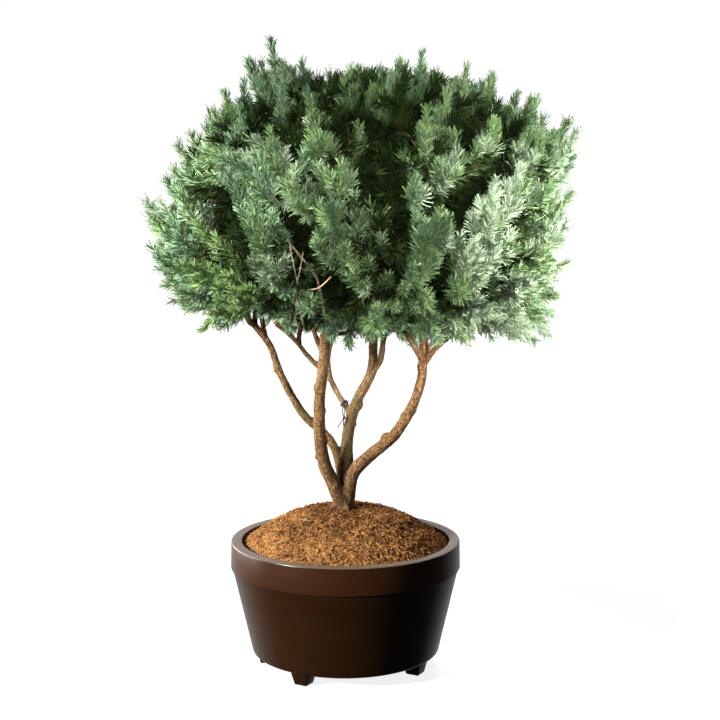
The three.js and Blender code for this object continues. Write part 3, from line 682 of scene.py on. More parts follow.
def bark_finish(name, cracked, strength=1):
    """Thin flaking bark: orange brown plates, grey brown cracks, a little olive growth and some painted
    shade.
    """
    material, place = new_material(name, 0.85, 0.25)
    plates = blotches(place, 165, 6, 0.8, (1, 1, 0.7))
    specks = blotches(place, 300, 2, 0.5, (1, 1, 2))
    drift = blotches(place, 9)
    lichen = blotches(place, 34, 4, 0.65)
    colour = shades(plates, (0.4, (0.048, 0.026, 0.011)), (0.5, (0.215, 0.124, 0.052)),
                    (0.66, (0.59, 0.385, 0.2)))
    colour = tinted(colour, shades(specks, (0.4, (0.26, 0.22, 0.2)), (0.47, 1)))
    colour = tinted(colour, shades(drift, (0.35, (0.8, 0.68, 0.58)), (0.65, (1.08, 1.05, 1))))
    if cracked:
        lichen = maths("MULTIPLY_ADD", carried(place, "grown_over"), 0.16, lichen)
    olive = shades(lichen, (0.58, 0), (0.68, 0.8))
    colour = blend(olive, colour, (0.125, 0.11, 0.046, 1))
    if cracked:
        # Darker cracks, painted shade and a pale scar of bare wood
        for sign, most, tone in (("crack", 0.6, (0.04, 0.021, 0.01, 1)),
                                 ("painted_shade", 0.9, (0.016, 0.009, 0.005, 1)),
                                 ("bare_wood", 0.8, (0.5, 0.42, 0.3, 1))):
            colour = blend(maths("MULTIPLY", carried(place, sign), most), colour, tone)
    # Painted shade: the side turned from the sun is darkened
    facing = add_node(place.id_data, "ShaderNodeNewGeometry").outputs["Normal"]
    shady = maths("DOT_PRODUCT", facing, (0.86, 0.25, -0.4), kind="ShaderNodeVectorMath")
    colour = blend(ranged(shady, -0.25, 0.85, 0, 0.75), colour, (0.03, 0.016, 0.007, 1))
    return coated(material, tinted(colour, (strength, strength, strength, 1)), plates, 0.6, 0.0015)


wood = array_piece("bark", *joined_tubes(trunk_parts(), 20), bark_finish("flaking_bark", True))
skin = wood.modifiers.new("skin", "REMESH")
skin.mode = "VOXEL"
skin.voxel_size = bark_voxel
ease = wood.modifiers.new("ease", "SMOOTH")
ease.factor = 0.5
ease.iterations = 5
wood.data = settled(wood)
raise_bark(wood)
wood.data.shade_smooth()
fit(wood, "bark", "trunk", *bough_names)

# Twine
# A thin violet twine, twisted from two plies, is knotted in the fork of the back bough. It takes two turns
# round the side limb, and its ends hang loose.

twine_radius = 0.0017
tied_to = limbs["bough_back_left"]
tied_step = step_at_height(tied_to["path"], 0.905)
tied_at = tied_to["path"][tied_step]
tied_along = unit(tied_to["path"][tied_step + 4] - tied_at)
tied_aside = unit(np.cross(tied_along, UP))
tied_reach = tied_to["radius"][tied_step] + twine_radius * 1.6
turns = np.linspace(0, 2.2 * 2 * np.pi, 60)[:, None]
coil = tied_aside * np.cos(turns) + np.cross(tied_aside, tied_along) * np.sin(turns)
coil = tied_at + coil * tied_reach + tied_along * (turns / (2 * np.pi) - 1) * twine_radius * 2.2
knot_at = np.array([-0.005, 0.046, 0.863])
loops = np.linspace(0, 3 * 2 * np.pi, 50)[:, None]
knot = knot_at + np.hstack([np.cos(loops), np.sin(loops * 1.5), np.sin(loops)]) * 0.0036
tie, other_tie, end, other_end = (through(stops)[::8] for stops in (
    [coil[-1], (-0.012, 0.062, 0.884), knot_at],
    [coil[30], (-0.004, 0.056, 0.886), knot_at],
    [knot_at, (-0.016, 0.042, 0.848), (-0.028, 0.04, 0.828)],
    [knot_at, (-0.008, 0.04, 0.845), (-0.005, 0.041, 0.832)]))
strands = [(strand, twine_radius) for strand in (coil, tie, other_tie, knot, end, other_end)]

twine_violet, twine_place = new_material("violet_twine", 0.5, 0.3)
plies = blotches(twine_place, 600, 2)
violet = shades(plies, (0.4, (0.008, 0.006, 0.022)), (0.6, (0.035, 0.03, 0.08)))
coated(twine_violet, violet, plies, 0.6, 0.0005)
fit(array_piece("twine", *joined_tubes(strands, 8), twine_violet), "bark")

# Crown limbs
# Inside the foliage thinner limbs swing out from the boughs, and one short stem goes on from each into
# the middle of its mass of shoots. Their bark is the same, smoother and with no plates, and darker as painted
# shade.

# Limbs: the bough and the height that each leaves at, its radius and the mass that it carries
for limb, bough, height, radius, carries in (
        ("front", "front_left", 1.14, 0.008, "middle_1"),
        ("upper_front", "front", 1.5, 0.0095, "upper_2"),
        ("left_front", "front", 1.3, 0.01, "middle_8"),
        ("left", "left", 1.19, 0.0095, "middle_7"),
        ("back_left", "back_left", 1.18, 0.009, "middle_6"),
        ("upper_back", "back", 1.42, 0.009, "upper_5"),
        ("back", "back", 1.3, 0.0095, "middle_5"),
        ("right_back", "right", 1.33, 0.0095, "middle_4"),
        ("right", "right", 1.25, 0.0095, "middle_3"),
        ("front_right", "right_left", 1.2, 0.008, "middle_2"),
        ("low_right", "right_back", 1.15, 0.008, "lower_3"),
        ("under_front", "front", 1.16, 0.008, "under_1"),
        ("under_back", "right", 1.15, 0.008, "under_2")):
    path = limbs[f"bough_{bough}"]["path"]
    step = step_at_height(path, height)
    start, entry = path[step], masses[carries]["entry"]
    along = unit(path[min(step + 1, path_steps)] - path[step - 1])
    swing = span(entry - start) * 0.4
    leaving = start + unit(unit(entry - start) + along) * swing * 0.6
    corners = np.array([start, leaving, entry - masses[carries]["heading"] * swing, entry])
    add_limb(f"limb_{limb}", evenly(bezier(corners, np.linspace(0, 1, 200))), radius, 0.007)

crown_limb_names = [name for name in limbs if name not in bough_names]
mass_stems = {}
for name, mass in masses.items():
    bend = mass["entry"] + mass["heading"] * span(mass["centre"] - mass["entry"]) * 0.5
    corners = np.array([mass["entry"], bend, bend, mass["centre"]])
    mass_stems[name] = bezier(corners, np.linspace(0, 1, 21))

inner_paths = np.stack([limbs[name]["path"][::20] for name in crown_limb_names] + list(mass_stems.values()))
inner_radii = np.stack([limbs[name]["radius"][::20] for name in crown_limb_names]
                       + [np.linspace(0.007, 0.005, 21)] * len(mass_stems))
# Painted shade: inside the crown the limbs' bark is a third as bright
limb_bark = bark_finish("limb_bark", False, 0.33)
fit(array_piece("crown_limbs", *tubes(inner_paths, inner_radii, 8), limb_bark), "bark", *crown_limb_names)

# Bare twigs
# Low at the front, left of the middle, the foliage opens like a window. A few pale old twigs that have lost
# their needles cross it from below and show against the dark inside. They grow out of the crown's own limbs.

# Radius at the foot, then the course
bare_twigs = [
    (0.0052, (-0.06, -0.33, 1.25), (-0.069, -0.4, 1.313), (-0.089, -0.46, 1.396), (-0.134, -0.49, 1.457),
     (-0.173, -0.5, 1.506)),
    (0.0034, (-0.13, -0.36, 1.23), (-0.138, -0.42, 1.284), (-0.147, -0.49, 1.361), (-0.133, -0.51, 1.415),
     (-0.124, -0.5, 1.469)),
    (0.0032, (-0.16, -0.34, 1.225), (-0.151, -0.4, 1.282), (-0.135, -0.48, 1.348), (-0.078, -0.51, 1.359),
     (-0.038, -0.52, 1.394)),
    (0.0022, (-0.15, -0.38, 1.29), (-0.18, -0.44, 1.342), (-0.208, -0.5, 1.414), (-0.218, -0.52, 1.458),
     (-0.224, -0.52, 1.495)),
    (0.002, (-0.12, -0.42, 1.3), (-0.137, -0.5, 1.356), (-0.153, -0.54, 1.441), (-0.165, -0.54, 1.505)),
]
bare_parts = [(through(stops)[::20], np.linspace(radius, radius * 0.6, 21)) for radius, *stops in bare_twigs]
bare_bark, bare_place = new_material("bare_twig_bark", 0.8, 0.25)
coated(bare_bark, shades(blotches(bare_place, 60, 4, 0.7),
                         (0.35, (0.26, 0.175, 0.095)), (0.65, (0.56, 0.44, 0.28))))
fit(array_piece("bare_twigs", *joined_tubes(bare_parts, 8), bare_bark), "bark")

# Shoots
# From the stem of each mass, twigs run out to the crown's surface and turn upwards. Each leader has whorls
# of side shoots round it, and the growth follows the solids' own spiral of tips.

spray_count = 184
spray_length = 0.2
spray_unevenness = 0.09
spray_sway = 0.3
spray_lift_low, spray_lift_high = 0.2, 1.1
leader_tips = [
    (-0.251, -0.07, 2.165), (0.259, -0.04, 2.131), (0.12, 0.07, 2.09), (0.5, 0, 2.06),
    (-0.404, -0.03, 1.995), (-0.06, 0.24, 2.095), (0.33, 0.24, 2.075), (0.762, 0.01, 1.905),
    (-0.53, 0.02, 1.862), (0.64, -0.06, 1.968), (-0.688, 0, 1.592), (0.762, 0, 1.824),
    (-0.04, -0.65, 1.65), (0.06, 0.65, 1.64),
]
side_tips = [
    (-0.327, -0.04, 2.1), (0.79, -0.02, 1.87), (0.785, 0.03, 1.79), (0.33, 0.02, 2.105),
    (0.41, -0.03, 2.085), (0.59, 0.02, 2), (0.02, -0.04, 2.08), (0.19, 0.04, 2.1),
    (-0.15, 0.02, 2.105), (-0.47, 0.03, 1.94), (-0.69, -0.04, 1.64), (-0.68, 0.05, 1.54),
    (0.745, 0, 1.285), (0.72, -0.11, 1.235), (0.715, 0.06, 1.18), (0.64, -0.22, 1.15),
    (-0.64, 0, 1.33), (-0.605, -0.12, 1.285), (-0.575, 0.06, 1.23), (-0.49, -0.14, 1.18),
    (0.7, -0.2, 1.33), (-0.56, -0.25, 1.33), (0.74, 0.12, 1.4), (-0.62, 0.16, 1.39),
    (0.07, 0.01, 2.06), (0.185, -0.03, 2.098), (0.206, 0.05, 2.098), (0.388, 0.04, 2.02),
    (0.495, -0.02, 2.045), (0.578, 0.03, 1.978), (0.628, -0.03, 1.978), (0.649, 0.03, 1.982),
    (-0.286, 0.03, 2.105), (-0.313, -0.02, 2.098), (-0.344, 0.02, 2.04), (-0.44, -0.03, 1.935),
    (0.4, -0.15, 1.15), (0.5, -0.2, 1.155), (0.58, -0.05, 1.14), (0.45, 0.1, 1.135),
    (0.66, 0.05, 1.14), (0.7, -0.1, 1.16), (0.34, -0.1, 1.155), (0.6, -0.25, 1.175),
    (-0.263, -0.587, 1.733), (-0.241, -0.611, 1.585), (-0.231, -0.61, 1.466), (0.288, -0.622, 1.614),
    (0.28, -0.626, 1.481), (0.405, -0.582, 1.524), (0.382, -0.592, 1.405),
]
window_at, window_radius = np.array([-0.15, -0.59, 1.41]), 0.074
turn_up = 0.5
needle_reach = 0.024

# Side shoots stand round a leader in whorls: how far behind its tip, how many and how long
whorls = ((0.105, 3, 0.08), (0.195, 4, 0.15))

# Hollows between the masses: where they open, how wide and how deep they are
front_hollows = [
    (0.125, -0.599, 1.841, 0.1, 0.16), (0.133, -0.636, 1.732, 0.11, 0.17),
    (0.145, -0.641, 1.615, 0.1, 0.16), (0.154, -0.644, 1.512, 0.075, 0.13),
    (0.185, -0.637, 1.39, 0.065, 0.11), (0.177, -0.539, 1.921, 0.075, 0.11),
    (0.045, -0.646, 1.565, 0.055, 0.11), (-0.385, -0.54, 1.65, 0.085, 0.17),
    (-0.089, -0.604, 1.797, 0.05, 0.1), (0.451, -0.541, 1.805, 0.055, 0.12),
    (-0.335, -0.576, 1.497, 0.075, 0.15), (0.408, -0.51, 1.892, 0.05, 0.1),
    (0.367, -0.597, 1.682, 0.05, 0.1), (0.214, -0.61, 1.806, 0.07, 0.13), (0.655, -0.4, 1.625, 0.06, 0.13),
]
hollow_count = 34

# Shoots that lean over to one side above a hollow: the tip, and how far it is swung
led_shoots = [
    ((-0.452, -0.478, 1.742), (-2.2, 0.2, -0.95)),
    ((-0.398, -0.524, 1.76), (-1.2, 0.1, -0.4)),
    ((-0.19, -0.59, 1.7), (-0.5, 0, 0.2)),
]


def seeded(seed):
    """Repeatable random numbers from a whole-number seed, the same as the solids were grown with."""
    state = seed

    def draw():
        nonlocal state
        state = (state + 0x6D2B79F5) & 0xFFFFFFFF
        mixed = ((state ^ (state >> 15)) * (state | 1)) & 0xFFFFFFFF
        mixed ^= (mixed + (mixed ^ (mixed >> 7)) * (mixed | 61)) & 0xFFFFFFFF
        return (mixed ^ (mixed >> 14)) / 4294967296

    return draw


def spiral(index, count, start=0):
    """One of an even spiral of directions."""
    height = 1 - 2 * (index + 0.5) / count
    level = math.sqrt(1 - height * height)
    bearing = index * golden_angle + start
    return np.array([level * math.cos(bearing), level * math.sin(bearing), height])


def crown_halves(upper):
    """The crown's half width and half depth, and how far it rises or drops from its middle."""
    return np.array([crown_half_width, crown_half_depth, crown_rise if upper else crown_drop])


def spiral_way(index, count):
    """One of an even spiral of directions over the crown."""
    way = spiral(index, count)
    return unit(way * np.sqrt(crown_halves(way[2] > 0)))


def shoot_axis(tip):
    """Shoots face away from the crown and turn upwards, more so towards its top and at front and back."""
    out = tip - crown_centre
    normal = unit(out / crown_halves(out[2] > 0) ** 2)
    lift = min(1, max(0, (out[2] + crown_drop) / (crown_rise + crown_drop)))
    turn = turn_up * min(1, 0.25 + 1.9 * lift) * (1 + 1.3 * abs(normal[1]))
    return unit(normal + UP * (spray_lift_low + (spray_lift_high - spray_lift_low) * lift + turn))


def within_crown(tip, most):
    """The tip, drawn in to the crown's surface where it lies outside."""
    way = unit(tip - crown_centre)
    return crown_centre + way * min(span(tip - crown_centre), crown_reach(way) * most)


def drawn_back(tip):
    """The tip, drawn in where it lies in a hollow."""
    for *mouth, radius, depth in hollows:
        away = span(tip - mouth) / radius
        if away < 1:
            tip = tip - unit(tip - crown_centre) * depth * (1 - away ** 3)
    return tip


fine = np.random.default_rng(20)
hollows = list(front_hollows)
for index in range(hollow_count):
    way = spiral_way(index, hollow_count)
    if way[1] > -0.45 and way[2] < 0.8:
        mouth = crown_centre + way * crown_reach(way) * 0.97
        hollows.append((*mouth, 0.08 + 0.04 * fine.random(), 0.12 + 0.05 * fine.random()))

shoots = []


def new_shoot(corners, bare, kind, group, thick, thin):
    shoots.append({"corners": np.array(corners), "bare": bare, "kind": kind, "group": group,
                   "radii": (thick, thin)})


def fork_on(path, behind):
    """The point on a twig that lies so far behind its tip."""
    travelled = 0
    near = len(path) - 1
    while near > 2 and travelled < behind:
        travelled += span(path[near] - path[near - 1])
        near -= 1
    return path[near]


def grow_spray(number, tip, sway, root_share, turn):
    """A leader from the nearest mass's stem to its tip, and the side shoots round it."""
    axis = unit(shoot_axis(tip) + sway)
    if span(tip - axis * spray_length / 2 - window_at) < window_radius:
        return
    spire = tip[2] > (1.8 if number >= spray_count else 1.9)
    if number < spray_count:
        tip = drawn_back(tip) - UP * spire * 0.06 * fine.random()
    middle = tip - axis * spray_length / 2
    nearest = min(masses, key=lambda name: span(masses[name]["centre"] - middle))
    root = mass_stems[nearest][int(round(root_share * 20))]
    base = tip - axis * spray_length
    corners = [root, root + (base - root) * 0.55, base, tip - axis * needle_reach]
    new_shoot(corners, 0.3, "leader", number, 0.0042, 0.0011)
    path = bezier(np.array(corners), np.linspace(0, 1, 41))
    side = unit(np.cross(axis, UP if abs(axis[2]) < 0.9 else np.array([1, 0, 0])))
    cross = np.cross(axis, side)
    spread = 0.55 if spire else 1
    for whorl, (behind, count, length) in enumerate(whorls):
        fork = fork_on(path, behind)
        for order in range(count):
            bearing = turn + whorl * 1.05 + order * 2 * math.pi / count + fine.normal(0, 0.2)
            way = side * math.cos(bearing) + cross * math.sin(bearing)
            leaving = unit(axis + way * (0.65 + 0.3 * fine.random()) * spread)
            ending = axis + way * (0.05 + 0.25 * fine.random()) * spread + UP * 0.1
            ending = unit(ending + fine.normal(0, 0.05, 3))
            long = length * (0.8 + 0.4 * fine.random()) * (0.85 if spire else 1)
            side_tip = fork + leaving * long * 0.5 + ending * long * 0.55
            if not spire:
                most = np.interp(side_tip[2], [1.3, 1.5, 1.85, 2], [0.98, 0.92, 0.92, 0.86])
                side_tip = drawn_back(within_crown(side_tip, most + 0.05 * fine.random()))
            if span((fork + side_tip) / 2 - window_at) < window_radius * 0.9:
                continue
            side_end = side_tip - ending * needle_reach
            corners = [fork, fork + leaving * long * 0.45, side_end - ending * long * 0.35, side_end]
            new_shoot(corners, 0.1, "side", number, 0.0022, 0.0009)


# Tips of the main shoots: an even spiral over the crown, some a little short of it, and the leaders
draw = seeded(20)
shoot_tips = []
for index in range(spray_count):
    way = spiral_way(index, spray_count)
    shoot_tips.append(way * crown_reach(way) * (1 - spray_unevenness * draw()) + crown_centre)
for number, tip in enumerate([*shoot_tips, *np.array(leader_tips + side_tips)]):
    sway = np.array([draw() - 0.5, draw() - 0.5, 0]) * spray_sway
    root_share = 0.5 + 0.5 * draw()
    grow_spray(number, tip, sway, root_share, draw() * 2 * math.pi)
for number, (tip, sway) in enumerate(led_shoots):
    grow_spray(500 + number, np.array(tip), np.array(sway), 0.8, number)


def short_twig(start, end, bare, group, thick=0.0022):
    """An old twig inside the crown, bent a little upwards."""
    bend = start + (end - start) * 0.5 + UP * 0.01
    new_shoot([start, bend, bend + (end - bend) * 0.4, end], bare, "inner", group, thick, 0.0012)


# Short inner twigs fill the middle of each mass
inner_twigs = 24
for group, (name, mass) in enumerate(masses.items()):
    for index in range(inner_twigs):
        start = mass_stems[name][int(fine.integers(6, 21))]
        way = spiral(index, inner_twigs, group) * (0.15 + 0.06 * fine.random())
        end = within_crown(mass["centre"] + way, 0.86)
        if span(end - window_at) >= window_radius:
            short_twig(start, end, 0.15, 1000 + group, 0.0024)

# More of them close the bottom of each hollow
hollow_twigs = 8
window = (*window_at, window_radius, 0.1)
for group, (*mouth, radius, depth) in enumerate([*hollows, window, window]):
    inward = unit(crown_centre - mouth)
    start = mouth + inward * (depth + 0.17)
    for index in range(hollow_twigs):
        way = unit(fine.normal(0, 1, 3))
        way = unit(way - inward * (way @ inward) * 0.8 - inward * 0.25)
        short_twig(start, start + way * (0.12 + 0.05 * fine.random()), 0.1, 2000 + group)

# And more keep the middle of the crown dense from above
for group, start in enumerate([(-0.2, -0.15, 1.44), (0.31, -0.07, 1.44), (0.05, 0, 1.46)]):
    for index in range(10):
        way = unit(fine.normal(0, 1, 3) * (1, 1, 0.5))
        short_twig(start, start + way * (0.13 + 0.05 * fine.random()), 0.1, 3000 + group)

# The crown is open underneath where the boughs go in, and has a small gap among its spires
openings = [
    (0.035, -0.05, 1.12, 0.1), (0.02, -0.45, 1.18, 0.07), (0.035, -0.27, 1.145, 0.08),
    (-0.235, -0.05, 1.165, 0.07), (-0.225, -0.27, 1.195, 0.06), (0.02, -0.375, 1.222, 0.045),
    (0.01, -0.313, 1.224, 0.02), (0.015, -0.16, 1.172, 0.03), (-0.058, -0.28, 1.165, 0.02),
    (-0.216, -0.484, 1.22, 0.03), (-0.227, -0.415, 1.24, 0.02), (-0.275, -0.101, 1.202, 0.03),
    (0.137, -0.351, 1.176, 0.02), (0.131, -0.259, 1.192, 0.02), (0.137, 0.095, 1.155, 0.03),
    (0.326, 0.02, 2.081, 0.02),
]
for *place, radius in openings:
    shoots = [shoot for shoot in shoots if span(shoot["corners"][3] - place) > radius]


def crosses(shoot, x, y, z, radius):
    """Whether a young shoot runs across a hollow that opens towards the front."""
    off = bezier(shoot["corners"], np.array([0.5, 0.75, 1])) - (x, y, z)
    return shoot["kind"] != "inner" and ((np.hypot(off[:, 0], off[:, 2]) < radius) & (off[:, 1] < 0.2)).any()


# Three hollows at the front have no young shoot across them at all
for clear in [(-0.385, -0.52, 1.642, 0.07), (-0.335, -0.55, 1.497, 0.05), (0.17, -0.61, 1.5, 0.05)]:
    shoots = [shoot for shoot in shoots if shoot["group"] >= 500 or not crosses(shoot, *clear)]

all_corners, all_bare, all_kind, all_group, all_radii = (
    np.array([shoot[part] for shoot in shoots]) for part in ("corners", "bare", "kind", "group", "radii"))


def twig_finish():
    """Young bark: yellow brown, ribbed where needles have dropped. Deep in the crown it is near black as
    painted shade.
    """
    material, place = new_material("twig_bark", 0.8, 0.25)
    tint = blotches(place, 30)
    outer = shades(tint, (0.35, (0.17, 0.125, 0.045)), (0.55, (0.29, 0.235, 0.09)),
                   (0.7, (0.38, 0.32, 0.14)))
    inner = shades(tint, (0.35, (0.012, 0.008, 0.004)), (0.65, (0.03, 0.018, 0.009)))
    colour = blend(carried(place, "young_unshaded"), inner, outer)
    return coated(material, colour, blotches(place, 400, 2), 0.5, 0.0008)


def depth_of(points):
    """How deep points lie inside the crown."""
    out = points - crown_centre
    return crown_reach(unit(out)) - span(out)


share = np.linspace(0, 1, 6)
twig_radii = all_radii[:, :1] + (all_radii[:, 1:] - all_radii[:, :1]) * share
twig_points, twig_faces = tubes(bezier(all_corners[:, None], share), twig_radii, 4)
twigs = array_piece("twigs", twig_points, twig_faces, twig_finish())
# Painted shade: twigs deep inside the crown take the near-black bark
mark(twigs, "young_unshaded", np.interp(depth_of(twig_points), [0.1, 0.2], [1, 0]))
mass_nodes = [f"needles_{name}" for name in masses]
fit(twigs, "bark", *mass_nodes)

# Needles
# Stiff blue-green needles stand round each shoot like a bottle brush and point forwards, close together.
# Some sprays are greyer or yellower than the next, and the older needles inside the crown are dark, partly as
# painted shade.

needle_length = 0.039
needle_width, old_shaded_needle_width, needle_tip_width = 0.0046, 0.0046 * 1.9, 0.0024
needles_per_metre = {"leader": 1180, "side": 1180, "inner": 400}
needles_most = 49900
lean_root, lean_tip = 0.98, 0.54

# The darkest and the lightest needle of each kind, the young kinds first; the deep and old ones are partly
# painted shade
needle_tints = {
    "green": ((0.044, 0.08, 0.026), (0.29, 0.43, 0.192)),
    "blue_green": ((0.04, 0.078, 0.034), (0.29, 0.455, 0.248)),
    "grey_green": ((0.058, 0.094, 0.044), (0.385, 0.515, 0.31)),
    "pale": ((0.125, 0.18, 0.1), (0.455, 0.57, 0.39)),
    "yellow_green": ((0.052, 0.098, 0.028), (0.325, 0.475, 0.185)),
    "deep": ((0.022, 0.042, 0.012), (0.125, 0.205, 0.07)),
    "old_shaded": ((0.0055, 0.0105, 0.0022), (0.026, 0.043, 0.012)),
}


def needle_finish(name, dark, light):
    """Waxy needles, each lighter or darker than the next and dimmed where painted shade falls. Old ones are
    dull.
    """
    roughness, gloss = (0.75, 0.1) if name == "old_shaded" else (0.45, 0.4)
    material, place = new_material(f"needles_{name}", roughness, gloss)
    dull, bright = (np.array(dark) + np.subtract(light, dark) * share for share in (0.24, 0.72))
    colour = shades(carried(place, "shade"), (0, dark), (0.42, dull), (0.6, bright), (1, light))
    veil = shades(blotches(place, 7, 2), (0.35, (0.84, 0.86, 0.88)), (0.65, (1.1, 1.1, 1.06)))
    return coated(material, tinted(colour, veil))


def needles_on(counts):
    """Roots and tips of the needles on all shoots, and the number of the shoot that each is on."""
    owner = np.repeat(np.arange(len(counts)), counts)
    corners = all_corners[owner]
    place = fine.random(len(owner)) ** 0.68
    along = all_bare[owner] + (1 - all_bare[owner]) * place
    ahead = unit(bezier(corners, np.minimum(along + 0.02, 1)) - bezier(corners, np.minimum(along, 0.98)))
    first = unit(np.cross(ahead, np.where(np.abs(ahead[:, 2:]) < 0.9, UP, np.array([1, 0, 0]))))
    roll = fine.random(len(owner))[:, None] * 2 * np.pi
    out = first * np.cos(roll) + np.cross(ahead, first) * np.sin(roll)
    lean = lean_root + (lean_tip - lean_root) * place
    lean += fine.normal(0, 0.08, len(owner)) * (1 + 2 * place ** 8)
    lean *= np.interp(corners[:, 3, 2], [1.85, 1.95], [1, 0.8])
    way = ahead * np.cos(lean)[:, None] + out * np.sin(lean)[:, None]
    reach = needle_length * (0.78 + 0.34 * fine.random(len(owner))) * (1 - 0.15 * place ** 4)
    reach = np.where(all_kind[owner] == "inner", reach * 1.5, reach)
    root = bezier(corners, along)
    return root, root + way * reach[:, None], owner


def needle_solids(root, tip, width):
    """Closed slivers of four faces: one edge across the root and a shorter one, square to it, at the tip."""
    way = unit(tip - root)
    across = unit(np.cross(way, fine.normal(0, 1, way.shape)))
    wide, narrow = across * width / 2, np.cross(way, across) * needle_tip_width / 2
    points = np.stack([root + wide, root - wide, tip + narrow, tip - narrow], axis=1).reshape(-1, 3)
    return points, repeated(np.array([[0, 1, 2], [1, 0, 3], [0, 2, 3], [1, 3, 2]]), len(root), 4)


lengths = span(np.diff(bezier(all_corners[:, None], np.linspace(0, 1, 12)), axis=1)).sum(axis=1)
per_metre = np.array([needles_per_metre[kind] for kind in all_kind])
roots, tips, owners = needles_on(np.round(lengths * (1 - all_bare) * per_metre).astype(int))

# How deep each needle lies in the crown settles its age and its painted shade, and the deepest have dropped
depths = depth_of(roots) + fine.normal(0, 0.02, len(roots))
dropped = np.where(all_kind[owners] == "inner", 0, np.interp(depths, [0.14, 0.21], [0, 0.85]))
kept = fine.random(len(roots)) > dropped
roots, tips, owners, depths = roots[kept], tips[kept], owners[kept], depths[kept]
age = np.where(depths > 0.155, "deep", "young_unshaded")
age = np.where((depths > 0.22) | (all_kind[owners] == "inner"), "old_shaded", age)

# The young ones take their spray's tint: more yellow at a sunny spot, paler to the right as painted light,
# green at the top
shoot_at = all_corners[:, 3]
to_right = np.interp(shoot_at[:, 0], [0.27, 0.48, 0.66], [0, 0.3, 0.08])
sunny = span(shoot_at - (-0.43, -0.44, 1.37)) < 0.2
pick = np.where(fine.random(len(shoots)) < 0.5, (all_group * 0.618034) % 1, fine.random(len(shoots)))
shoot_tint = np.searchsorted([0.3, 0.56, 0.8, 0.965], np.where(sunny & (pick < 0.7), 0.99, pick * 0.975))
shoot_tint = np.where((shoot_tint < 2) & (fine.random(len(shoots)) < to_right * 3), 3, shoot_tint)
shoot_tint = np.where((shoot_tint == 3) & (shoot_at[:, 2] > 1.88), 0, shoot_tint)

# Painted shade: the needles are darker at the front of the crown's top, more so to the right, at its far
# right edge, and round the hollows and a few other spots
height = tips[:, 2] + 0.3 * np.maximum(tips[:, 0] - 0.3, 0)
dim = 1 - np.interp(height, [1.7, 1.95], [0, 0.7]) * np.interp(tips[:, 1], [0, 0.3], [1, 0])
dim *= np.interp(tips[:, 0], [0.52, 0.7], [1, 0.8])
shaded = [hollow[:4] for hollow in front_hollows]
shaded += [(-0.014, -0.646, 1.594, 0.075), (0.134, -0.646, 1.458, 0.09), (0.259, -0.628, 1.523, 0.075)]
for *place, radius in shaded:
    dim = np.minimum(dim, np.interp(span(tips - place) / radius, [0.6, 1.5], [0.3, 1]))

for index, (name, tints) in enumerate(needle_tints.items()):
    mine = age == name if name in ("deep", "old_shaded") else (shoot_tint[owners] == index) & (age == "young_unshaded")
    mine = np.nonzero(mine)[0]
    finish = needle_finish(name, *tints)
    for part in np.array_split(mine, math.ceil(len(mine) / needles_most)):
        width = old_shaded_needle_width if name == "old_shaded" else needle_width
        points, faces = needle_solids(roots[part], tips[part], width)
        piece = array_piece(f"needles_{name}", points, faces, finish, smooth=False)
        mark(piece, "shade", np.repeat(fine.random(len(part)) * dim[part], 4))
        fit(piece, "needles", *mass_nodes)

# Studio
# A plain pale floor. A warm light high on the left and a narrower one in front on the right light the two
# sides of the tree. A wide panel on the left and a lamp behind light its back. The front has a faint fill.

camera_offset, camera_pitch = Vector((0.0507, -4.805, 1.673)), math.radians(7.12)
camera_data = bpy.data.cameras.new("camera")
camera_data.lens = 70
camera_data.sensor_width = 36
camera_data.clip_end = 200
camera = set_out("camera", camera_data)
camera.location = Vector(planter_axis) + camera_offset
camera.rotation_euler = (math.pi / 2 - camera_pitch, 0, 0)
bpy.context.scene.camera = camera


def add_light(name, energy, place, aim, *size, spread=0, colour=(1, 1, 1)):
    """A panel of two sizes, or a sun of one angle, that shines along its aim. Spread is in degrees."""
    data = bpy.data.lights.new(name, "AREA" if len(size) == 2 else "SUN")
    data.energy = energy
    data.color = colour
    if len(size) == 2:
        data.shape = "RECTANGLE"
        data.size, data.size_y = size
    else:
        data.angle = size[0]
    light = set_out(name, data)
    light.location = Vector(planter_axis) + Vector(place)
    light.rotation_euler = Vector(aim).to_track_quat("-Z", "Y").to_euler()
    if spread:
        data.spread = math.radians(spread)
        light.visible_glossy = False


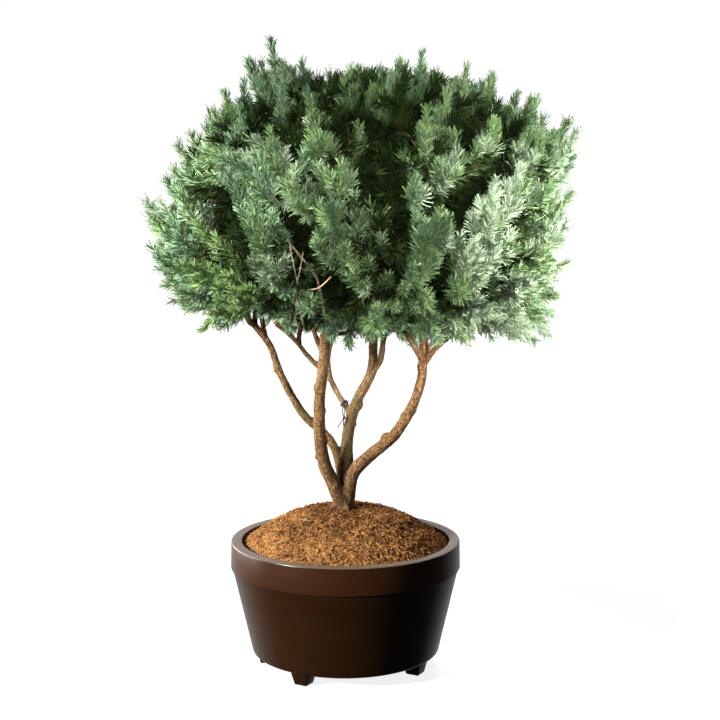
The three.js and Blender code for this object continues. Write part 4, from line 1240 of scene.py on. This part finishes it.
add_light("left_key", 6.2, (-4, -2.35, 3), (4, 2.35, -1.8), math.radians(4), colour=(1, 0.985, 0.95))
add_light("left_panel", 250, (-3.9, 1.9, 1), (3.9, -1.9, 0.2), 4.4, 2.2, colour=(1, 0.93, 0.84))
add_light("left_fill", 30, (-2.3, -2.1, 1.8), (2, 2.1, 0.05), 0.7, 0.7, spread=56)
add_light("right_key", 33, (2.4, -2.2, 1.6), (-1.6, 2.1, -0.04), 0.9, 0.9, spread=26, colour=(1, 0.96, 1))
add_light("right_side", 5, (2.6, 0.2, 1.5), (-2.4, -0.1, 0.12), 1.2, 1.2, spread=60, colour=(1, 0.95, 1))
add_light("back_fill", 32, (0.8, 4.2, 3.2), (-0.8, -4.2, -1.6), 1.5, 1.5, spread=50)
add_light("front_fill", 3.5, (0.2, -4.3, 1.85), (-0.1, 4.3, -0.05), 0.8, 0.8, spread=22)

floor_half = 40
floor_mesh = bpy.data.meshes.new("floor")
floor_mesh.from_pydata([(floor_half * x, floor_half * y, 0) for x, y in ((-1, -1), (1, -1), (1, 1), (-1, 1))],
                       [], [(0, 1, 2, 3)])
floor_material = new_material("floor", 0.9, 0.1)[0]
with_inputs(floor_material.node_tree.nodes["Principled BSDF"], {
    "Base Color": (0.35, 0.35, 0.35, 1), "Emission Color": (1, 1, 1, 1), "Emission Strength": 0.86})
floor_mesh.materials.append(floor_material)
floor = set_out("floor", floor_mesh)
floor.visible_diffuse = False
floor.visible_glossy = False

# The camera sees plain white. The tree is lit by a glow from behind
world = bpy.data.worlds.new("studio")
world.use_nodes = True
tree = world.node_tree
seen = add_node(tree, "ShaderNodeLightPath").outputs["Is Camera Ray"]
backdrop = add_node(tree, "ShaderNodeBackground", {"Color": (1, 1, 1, 1)}).outputs[0]
ahead = add_node(tree, "ShaderNodeTexCoord").outputs["Generated"]
behind = maths("MULTIPLY_ADD", part_of(ahead, "X"), -0.2, part_of(ahead, "Y"))
glow = with_inputs(tree.nodes["Background"], {
    "Color": (1, 1, 1, 1), "Strength": ranged(behind, 0.2, 0.95, 0.02, 0.55)})
either = add_node(tree, "ShaderNodeMixShader", {0: seen, 1: glow.outputs[0], 2: backdrop}).outputs[0]
with_inputs(tree.nodes["World Output"], {"Surface": either})
bpy.context.scene.world = world
bpy.context.scene.view_settings.view_transform = "Standard"
